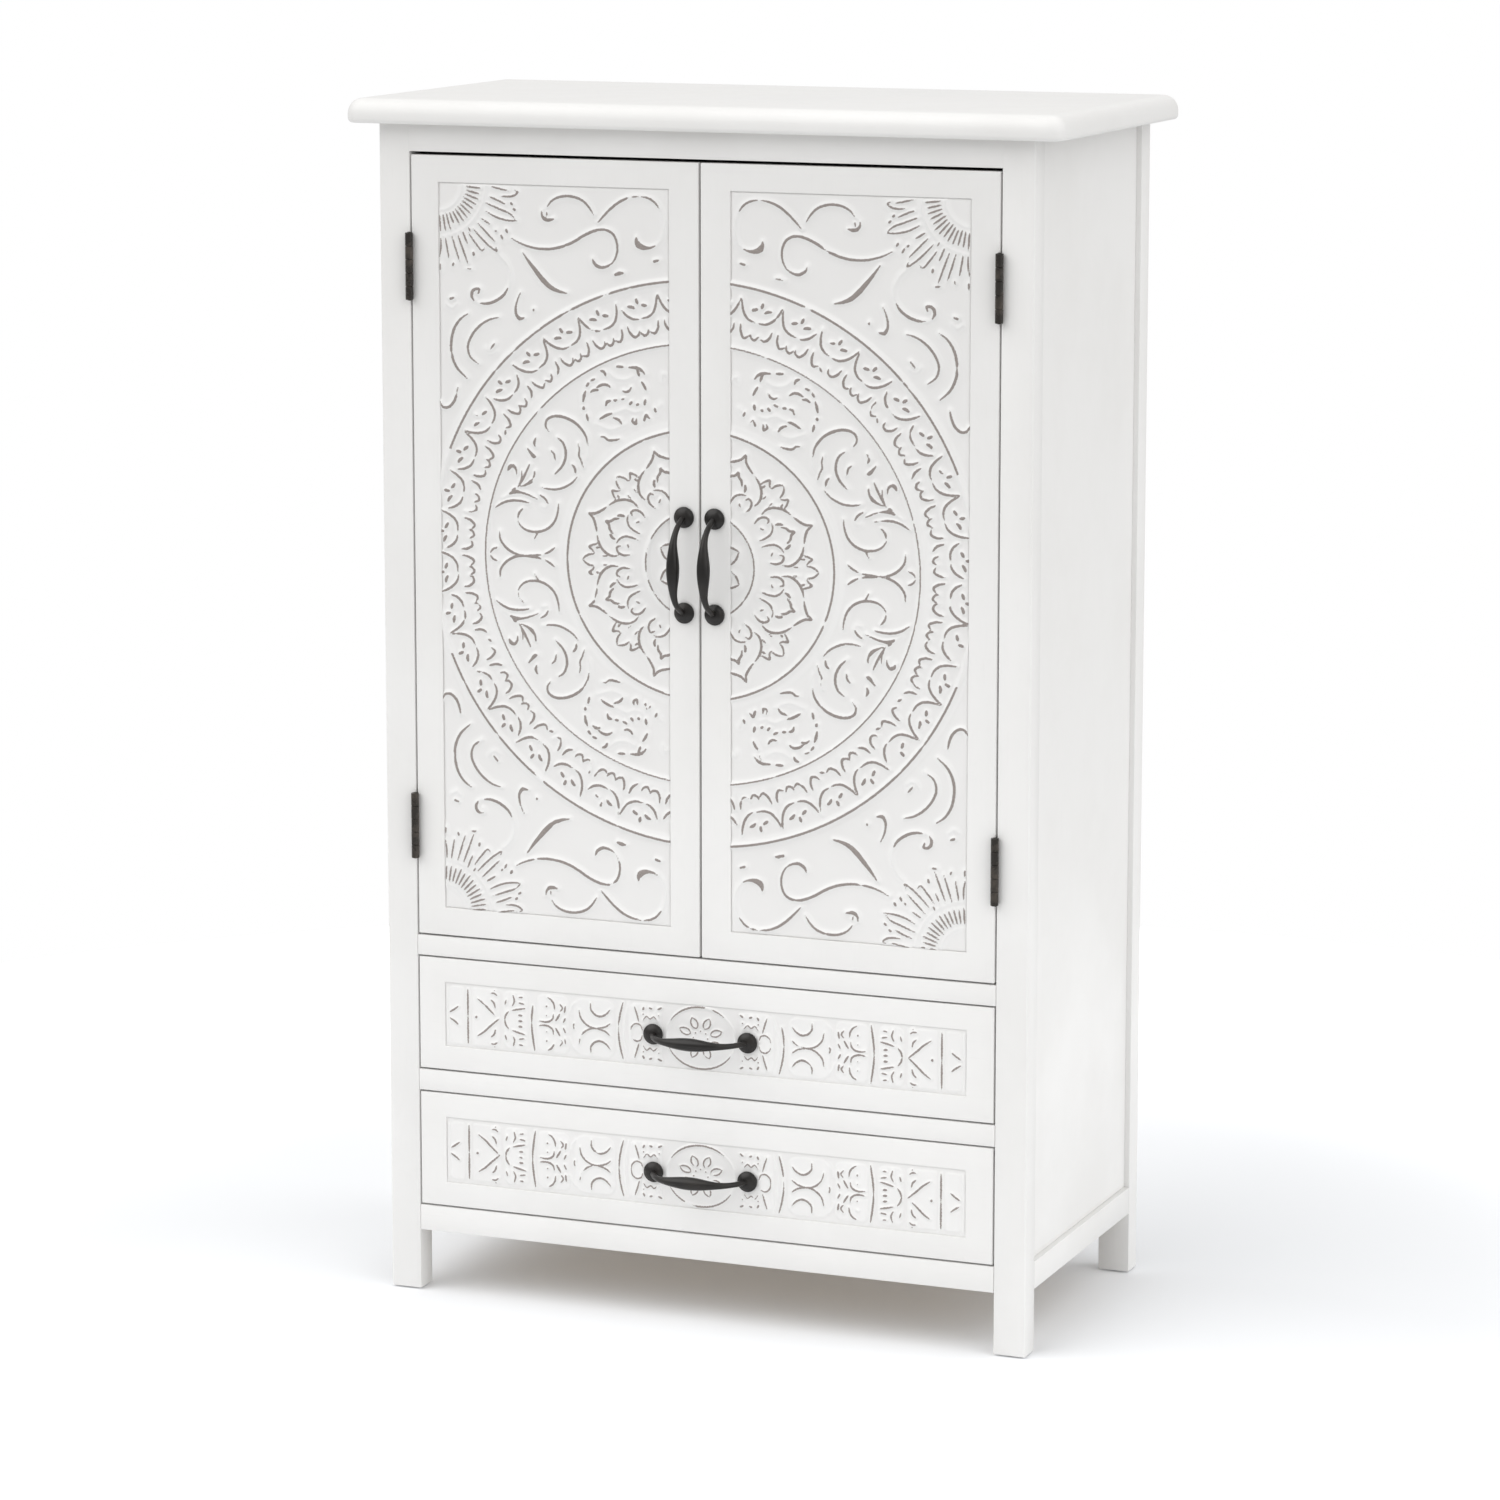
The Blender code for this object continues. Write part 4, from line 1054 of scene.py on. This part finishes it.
sun_rays = [
    # Long narrow petals with a dash or a seed between them, as angle and radius
    (0.8, (2, 62.7), (3.4, 73), (4.2, 82.4)),
    (0.9, (9, 74), (8.2, 83), (6.3, 90), (4.4, 92.5), (3.2, 89)),
    (0.85, (12, 62.3), (13, 72), (14.4, 82)),
    (1.1, (12.3, 86.3), (13.1, 89.2)),
    (1.1, (15.6, 91.4), (16.2, 94.6)),
    (0.85, (19, 60), (19.4, 76), (20, 92), (21.5, 97.5)),
    (0.85, (26.5, 62.5), (26.4, 76), (24.6, 88), (22, 99)),
    (1.2, (30.3, 91), (31.5, 94.5)),
    (0.85, (35, 61.5), (34.4, 73)),
    (0.9, (35.5, 83), (35.8, 85.8)),
    (1.0, (35.6, 89), (37, 93.8)),
    (0.8, (41, 61.5), (41.6, 76), (42, 90)),
    (0.85, (48.6, 62), (48, 76), (46.8, 90), (45.2, 98), (44, 94)),
    (0.8, (52, 57.5), (52.4, 62)),
    (0.8, (55, 64), (54.6, 76), (52.6, 88), (50.6, 87)),
    (0.85, (59.6, 58), (60.6, 65), (61, 72.6)),
    (1.2, (60, 83.5), (60.8, 87.2)),
    (0.85, (66.4, 59), (67, 78), (67.3, 92)),
    (0.9, (69.5, 94.6), (66.4, 97)),
    (0.8, (73.2, 57.7), (73, 72), (72.7, 87)),
    (1.0, (77.6, 85), (78.6, 88)),
    (0.8, (80.9, 58), (80.7, 70), (80.5, 80)),
    (0.8, (86, 58.5), (87, 70), (88.3, 78)),
    (0.8, (88, 84), (88.2, 91)),
]


def quarter_sun(panel, centre_u, centre_v, flip, chance):
    """A quarter of a sun: a plain disc, short dashes, a plain band, then long rays."""
    def at(angle, radius):
        turn = math.radians(angle)
        return centre_u - radius * math.cos(turn), centre_v - flip * radius * math.sin(turn)

    for radius in (29, 56):
        panel.rib([at(a, radius) for a in range(2, 90, 6)], 0.3, 1.8, False)
    for dash in range(13):
        angle = 4.5 + dash * 6.75
        inner = 33.5 + chance.uniform(-1, 1)
        outer = 50.5 + chance.uniform(-1.5, 1)
        panel.rib([at(angle, inner), at(angle + 0.5, outer)], 0.85, 1.5)
    for widest, *points in sun_rays:
        shift = chance.uniform(-1.2, 1.2)
        panel.rib([at(angle, radius + shift) for angle, radius in points], widest, 1.6)


def door_carving(low, high, seed):
    """The relief of one door's half of the design; u runs outwards from the middle."""
    panel = Carving(low, high, cell=1.45, wear=0.40, shoulder=3.6, spread=7.0)
    chance = np.random.default_rng(seed)
    for flip in (-1, 1):
        for lines, rubbed in ((corner_scrolls + acanthus, True), (faint_lines, False)):
            for widest, *points in lines:
                panel.rib(mirrored(points, 1, flip), widest, 2.4, rubbed)
        for lines, rubbed in ((swirl_rosette, True), (rosette_faint_lines, False)):
            for widest, *points in lines:
                panel.rib(mirrored(points, 1, flip), widest + 0.3, 1.8, rubbed)
        quarter_sun(panel, high[0] + 1.0, flip * 391.0, flip, chance)
    for cup in range(-10, 10):
        scallop(panel, cup * 9.0, chance)
    for petal in range(-4, 4):
        middle = 22.5 + 45 * petal
        for lines, turn, shoulder in ((lotus_half_petal, middle, 2.0), (heart_petal, middle, 1.6),
                                      (between_petals, middle - 22.5, 1.8)):
            for widest, *points in lines:
                for flip in (-1, 1):
                    path = [polar(turn, radius, flip * aside) for radius, aside in points]
                    panel.rib(path, widest, shoulder)
    ring_line(panel, RING_OUTER, half=1.0, shoulder=2.8, start=21.5, oval=OUTER_OVAL)
    ring_line(panel, RING_MIDDLE, half=0.62, shoulder=2.2)
    ring_line(panel, RING_INNER, half=0.95, shoulder=2.8)
    ring_line(panel, RING_HEART, half=0.7, shoulder=2.2)
    reach = np.hypot(panel.u / OVAL, panel.v)
    band = soft_step(reach, 229, 233) * (1 - soft_step(reach, 241, 246))
    rim = soft_step(reach, 288, 292) * (1 - soft_step(reach, 298, 303))
    collar = soft_step(reach, 142, 145) * (1 - soft_step(reach, 151, 156))
    dome = 1 - soft_step(reach, 10, 56)
    panel.ground += 0.55 * band + 0.5 * rim + 0.45 * collar + 0.7 * dome
    ripple = (np.sin(panel.u / 17.3 + 1.1 * np.sin(panel.v / 23.1))
              + np.sin(panel.v / 19.7 + 1.3 * np.sin(panel.u / 29.3)))
    panel.ground += 0.05 * ripple
    return panel


for side, sign, seed in (("right", 1, 21), ("left", -1, 22)):
    low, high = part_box(f"{side}_door_carved_panel")
    inner = min(abs(low.x), abs(high.x)) * 1000
    outer = max(abs(low.x), abs(high.x)) * 1000
    relief = door_carving((inner, (low.z - MEDALLION_HEIGHT) * 1000),
                          (outer, (high.z - MEDALLION_HEIGHT) * 1000), seed)
    if sign < 0:
        relief.low[0], relief.high[0] = -outer, -inner
        relief.u = -relief.u[:, ::-1]
        for layer in ("crest", "foot", "swell", "ground"):
            setattr(relief, layer, getattr(relief, layer)[:, ::-1])
    panel = carve_board(f"{side}_door_carving", relief, (0.0, MEDALLION_HEIGHT), low.y, high.y,
                        rib_height=1.55, bank_height=0.75, edge_drop=0.8)
    hand_over(panel, carved_paint, f"{side}_door", "white_paint",
              f"{side}_door_carved_panel", angle=75)


# ------------------------------------------------------------------ Door frames
# Each door is a frame of two stiles and two rails round its carved panel. The joints
# are glued, filled and painted over, so the frame reads as one board with a window.

FRAME_EASE = 0.0011
WINDOW_EASE = 0.0007

for side in ("left", "right"):
    parts = [f"{side}_door_{part}" for part in ("hinge_stile", "meeting_stile", "bottom_rail",
                                                "top_rail")]
    corners = [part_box(part) for part in parts]
    low = Vector([min(c[0][axis] for c in corners) for axis in range(3)])
    high = Vector([max(c[1][axis] for c in corners) for axis in range(3)])
    panel_low, panel_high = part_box(f"{side}_door_carved_panel")
    near = panel_low - FIT
    far = panel_high + FIT
    door = rough_block(f"{side}_door_frame", low, high)
    score_window(door, near, far)
    select_window(door, near, far, front_only=False)
    bpy.ops.mesh.bridge_edge_loops()
    bpy.ops.object.mode_set(mode="OBJECT")

    def door_arris(a, b):
        """True for the door's outer edges."""
        limits = sum(both_on(a, b, axis, low, high) and abs(a[i] - b[i]) < SAME
                     for i, axis in enumerate("xyz"))
        return limits >= 2

    def window_arris(a, b):
        """True for the window's edges on either face."""
        def between(axis, i):
            return all(near[i] - SAME < p[i] < far[i] + SAME for p in (a, b))
        return abs(a.y - b.y) < SAME and (
            both_on(a, b, "x", near, far) and between("z", 2)
            or both_on(a, b, "z", near, far) and between("x", 0))

    round_edges(door, WINDOW_EASE, 2, window_arris)
    round_edges(door, FRAME_EASE, 3, door_arris)
    hand_over(door, paint_upright, f"{side}_door", "white_paint", *parts)


# ------------------------------------------------------------------ Strike plates
# A small zinc-plated steel plate is screwed to the back of each door, where the
# magnet pulls on it.

repaint(zinc, "left_door_strike_plate", "right_door_strike_plate")


# ------------------------------------------------------------------ Hinges
# Butt hinges of dark bronzed steel are let into the posts and the door edges. Each has
# five rolled knuckles round a loose pin with small domed ends, and countersunk screws.

HINGE_AXIS = 0.330
HINGE_BARREL = 0.0042
HINGE_LENGTH = 0.071
POST_FACE = 0.331
DOOR_FACE = 0.329
LEAF_HALF = 0.0005
LEAF_EASE = 0.00018
KNUCKLE_GAP = 0.00015
KNUCKLE_EASE = 0.0004
TONGUE_OVERLAP = 0.0012
PIN_RADIUS = 0.0026
SCREW_STEPS = (-0.026, 0.0, 0.026)
SCREW_INSET = 0.0125


def dark_bronze(name, base, rub, shine):
    """Blackened bronze: near black, browner where hands have rubbed it."""
    material, tree, shader, place = new_material(name)
    handled = noise(tree, place, 55.0, 4.0, 0.6)
    grit = noise(tree, place, 1400.0, 3.0, 0.6)
    set_inputs(tree, shader, Base_Color=mottle(tree, handled, 0.42, 0.72, base, rub),
               Roughness=remap(tree, handled, 0.3, 0.75, shine, shine + 0.14),
               Metallic=0.25, Specular_IOR_Level=0.5)
    bumps(tree, shader, (grit, 0.00003))
    return material


hinge_bronze = dark_bronze("bronzed_hinge_steel", (0.020, 0.0165, 0.0135),
                           (0.065, 0.053, 0.042), 0.22)
screw_rings = [(0.0026, 0.0), (0.0028, 0.0002), (0.0024, 0.00035), (0.0010, 0.00028)]


def hinge_leaf(side, level, kind):
    """One leaf with its knuckles and screws; the post's leaf also carries the pin."""
    on_post = kind == "frame"
    sign = -1 if side == "left" else 1
    out = -sign if on_post else sign
    face = POST_FACE if on_post else DOOR_FACE
    node = f"{side}_{level}_hinge_{kind}_leaf"
    frame_low, frame_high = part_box(f"{side}_{level}_hinge_frame_leaf")
    middle_z = (frame_low.z + frame_high.z) / 2
    bottom = middle_z - HINGE_LENGTH / 2
    top_end = bottom + HINGE_LENGTH
    axis_y = frame_low.y + HINGE_BARREL
    behind = axis_y + HINGE_BARREL
    axis = (sign * HINGE_AXIS, axis_y, 0)
    near_x, far_x = sorted((sign * (face - LEAF_HALF), sign * (face + LEAF_HALF)))
    plate = rough_block(node + "_plate", (near_x, behind, bottom),
                        (far_x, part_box(node)[1].y, top_end))
    round_edges(plate, LEAF_EASE, 2)
    parts = [plate]
    for index in range(0 if on_post else 1, 5, 2):
        start = bottom + index * HINGE_LENGTH / 5 + (KNUCKLE_GAP if index else 0)
        end = bottom + (index + 1) * HINGE_LENGTH / 5 - (KNUCKLE_GAP if index < 4 else 0)
        rings = [(HINGE_BARREL - KNUCKLE_EASE, start), (HINGE_BARREL, start + KNUCKLE_EASE),
                 (HINGE_BARREL, end - KNUCKLE_EASE), (HINGE_BARREL - KNUCKLE_EASE, end)]
        parts.append(turned("knuckle", rings, 32, axis))
        parts.append(rough_block("tongue", (near_x, axis_y, start),
                                 (far_x, behind + TONGUE_OVERLAP, end)))
    if on_post:
        rings = [(0.0006, bottom - 0.0009), (0.0018, bottom - 0.0006),
                 (PIN_RADIUS, bottom + 0.0002), (PIN_RADIUS, top_end - 0.0002),
                 (0.0018, top_end + 0.0006), (0.0006, top_end + 0.0009)]
        parts.append(turned("pin", rings, 24, axis))
    for step in SCREW_STEPS:
        place = (sign * face + out * LEAF_HALF, axis_y + SCREW_INSET, middle_z + step)
        parts.append(turned("screw", screw_rings, 20, place, "X" if out > 0 else "-X"))
    return join_pieces(node + "_rolled", parts)


for side in ("left", "right"):
    for level in ("lower", "upper"):
        for kind, body in (("frame", "root"), ("door", f"{side}_door")):
            leaf = hinge_leaf(side, level, kind)
            hand_over(leaf, hinge_bronze, body, "dark_bronze", f"{side}_{level}_hinge_{kind}_leaf")


# ------------------------------------------------------------------ Pull handles
# Cast bow pulls in blackened bronze: two turned rosettes screwed through the wood, and
# a bow that leaves them steeply and swells to its thickest in the middle.

ROSETTE_RADIUS = 0.0112
ROSETTE_HEIGHT = 0.0065
BOW_THICK = 0.0070
BOW_THIN = 0.0029
BOW_FULLNESS = 4.5
BOW_SWELL = 3.2

handle_bronze = dark_bronze("blackened_bronze", (0.0075, 0.0062, 0.0052),
                            (0.016, 0.013, 0.0105), 0.30)


def bow_pull(name, low, high, upright):
    """One bow pull in the box of its solid; its back lies on the wood."""
    centre = (low + high) / 2
    length = high.z - low.z if upright else high.x - low.x
    half = length / 2 - ROSETTE_RADIUS
    rise = (high.y - low.y) - BOW_THICK - ROSETTE_HEIGHT / 2
    foot = Vector((centre.x, high.y, centre.z))
    take_up()
    bpy.ops.mesh.primitive_cylinder_add(vertices=32, radius=1.0, depth=2.0)
    bow = bpy.context.object
    shape = open_for_edit(bow)
    for edge in shape.edges:
        edge.select_set(abs(edge.verts[0].co.z - edge.verts[1].co.z) > 1.0)
    bmesh.update_edit_mesh(bow.data)
    bpy.ops.mesh.subdivide(number_cuts=55)
    shape = bmesh.from_edit_mesh(bow.data)
    for vert in shape.verts:
        t = -math.cos(math.pi * (vert.co.z + 1) / 2)
        radius = BOW_THIN + (BOW_THICK - BOW_THIN) * math.cos(t * math.pi / 2) ** BOW_SWELL
        place = Vector((0, -ROSETTE_HEIGHT / 2 - rise * (1 - abs(t) ** BOW_FULLNESS), t * half))
        slope = rise * BOW_FULLNESS * abs(t) ** (BOW_FULLNESS - 1) * math.copysign(1, t)
        out = Vector((0, -half, slope)).normalized()
        angle = math.atan2(vert.co.y, vert.co.x)
        vert.co = place + (Vector((1, 0, 0)) * math.cos(angle) - out * math.sin(angle)) * radius
    bmesh.update_edit_mesh(bow.data)
    close_up()
    if not upright:
        bow.rotation_euler = (0, math.pi / 2, 0)
    bow.location = foot
    bpy.ops.object.transform_apply()
    parts = [bow]
    rings = [(0.0104, 0.0), (0.0110, 0.0005), (ROSETTE_RADIUS, 0.0012), (ROSETTE_RADIUS, 0.0020),
             (0.0109, 0.0027), (0.0103, 0.0031), (0.0096, 0.0034), (0.0088, 0.0042),
             (0.0076, 0.0050), (0.0060, 0.0057), (0.0040, 0.0062), (0.0016, ROSETTE_HEIGHT)]
    for end in (-half, half):
        along = Vector((0, 0, end)) if upright else Vector((end, 0, 0))
        parts.append(turned("rosette", rings, 48, foot + along, "-Y"))
    return join_pieces(name, parts)


for body in ("left_door", "right_door", "upper_drawer", "lower_drawer"):
    pull = bow_pull(body + "_pull", *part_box(body + "_handle"), upright="door" in body)
    hand_over(pull, handle_bronze, body, "dark_bronze", body + "_handle", angle=50)


# ------------------------------------------------------------------ Studio
# A plain white floor without an edge, broad soft light from above and the left, and a
# camera with a long lens a little above the middle of the armoire.

take_up()
bpy.ops.mesh.primitive_circle_add(vertices=96, radius=1.9, fill_type="NGON",
                                  location=(0, 0, -0.0002))
studio_floor = name_piece("studio_floor")
floor_paper, tree, shader, place = new_material("white_paper")
tone = noise(tree, place, 0.6, 2.0, 0.5)
from_middle = tree.nodes.new("ShaderNodeVectorMath")
from_middle.operation = "LENGTH"
tree.links.new(place, from_middle.inputs[0])
set_inputs(tree, shader, Roughness=0.9, Specular_IOR_Level=0.0, Emission_Color=(1, 1, 1, 1),
           Base_Color=blend_colours(tree, tone, (0.79, 0.80, 0.815), (0.78, 0.79, 0.805)),
           Emission_Strength=remap(tree, from_middle.outputs["Value"], 0.75, 1.8, 0.09, 0.60))
studio_floor.data.materials.append(floor_paper)

world = bpy.data.worlds.new("studio_air")
bpy.context.scene.world = world
world.use_nodes = True
tree = world.node_tree
sky = tree.nodes["Background"]
set_inputs(tree, sky, Color=(1, 1, 1, 1), Strength=0.58)
paper = node_of(tree, "ShaderNodeBackground", Color=(1, 1, 1, 1), Strength=1.0)
seen = node_of(tree, "ShaderNodeLightPath").outputs["Is Camera Ray"]
either = node_of(tree, "ShaderNodeMixShader", Fac=seen)
tree.links.new(sky.outputs["Background"], either.inputs[1])
tree.links.new(paper.outputs["Background"], either.inputs[2])
set_inputs(tree, tree.nodes["World Output"], Surface=either.outputs["Shader"])


def far_light(name, toward, strength, spread):
    """One broad soft light from far away, so that it falls evenly."""
    lamp = bpy.data.lights.new(name, "SUN")
    lamp.energy = strength
    lamp.angle = math.radians(spread)
    light = bpy.data.objects.new(name, lamp)
    bpy.context.collection.objects.link(light)
    light.location = Vector(toward) * 5
    light.rotation_euler = Vector(toward).to_track_quat("Z", "Y").to_euler()


far_light("key_light", (-0.52, -0.46, 0.74), strength=1.74, spread=66)
far_light("side_light", (0.80, -0.14, 0.58), strength=1.50, spread=80)

lens = bpy.data.cameras.new("camera")
lens.lens = 127.83
lens.sensor_width = 36.0
lens.shift_y = -0.04
camera = bpy.data.objects.new("camera", lens)
bpy.context.collection.objects.link(camera)
camera.location = (2.1086, -5.2537, 1.6348)
camera.rotation_euler = (math.radians(90 - 9.782), 0, math.radians(21.988))
bpy.context.scene.camera = camera
bpy.context.scene.view_settings.view_transform = "Standard"
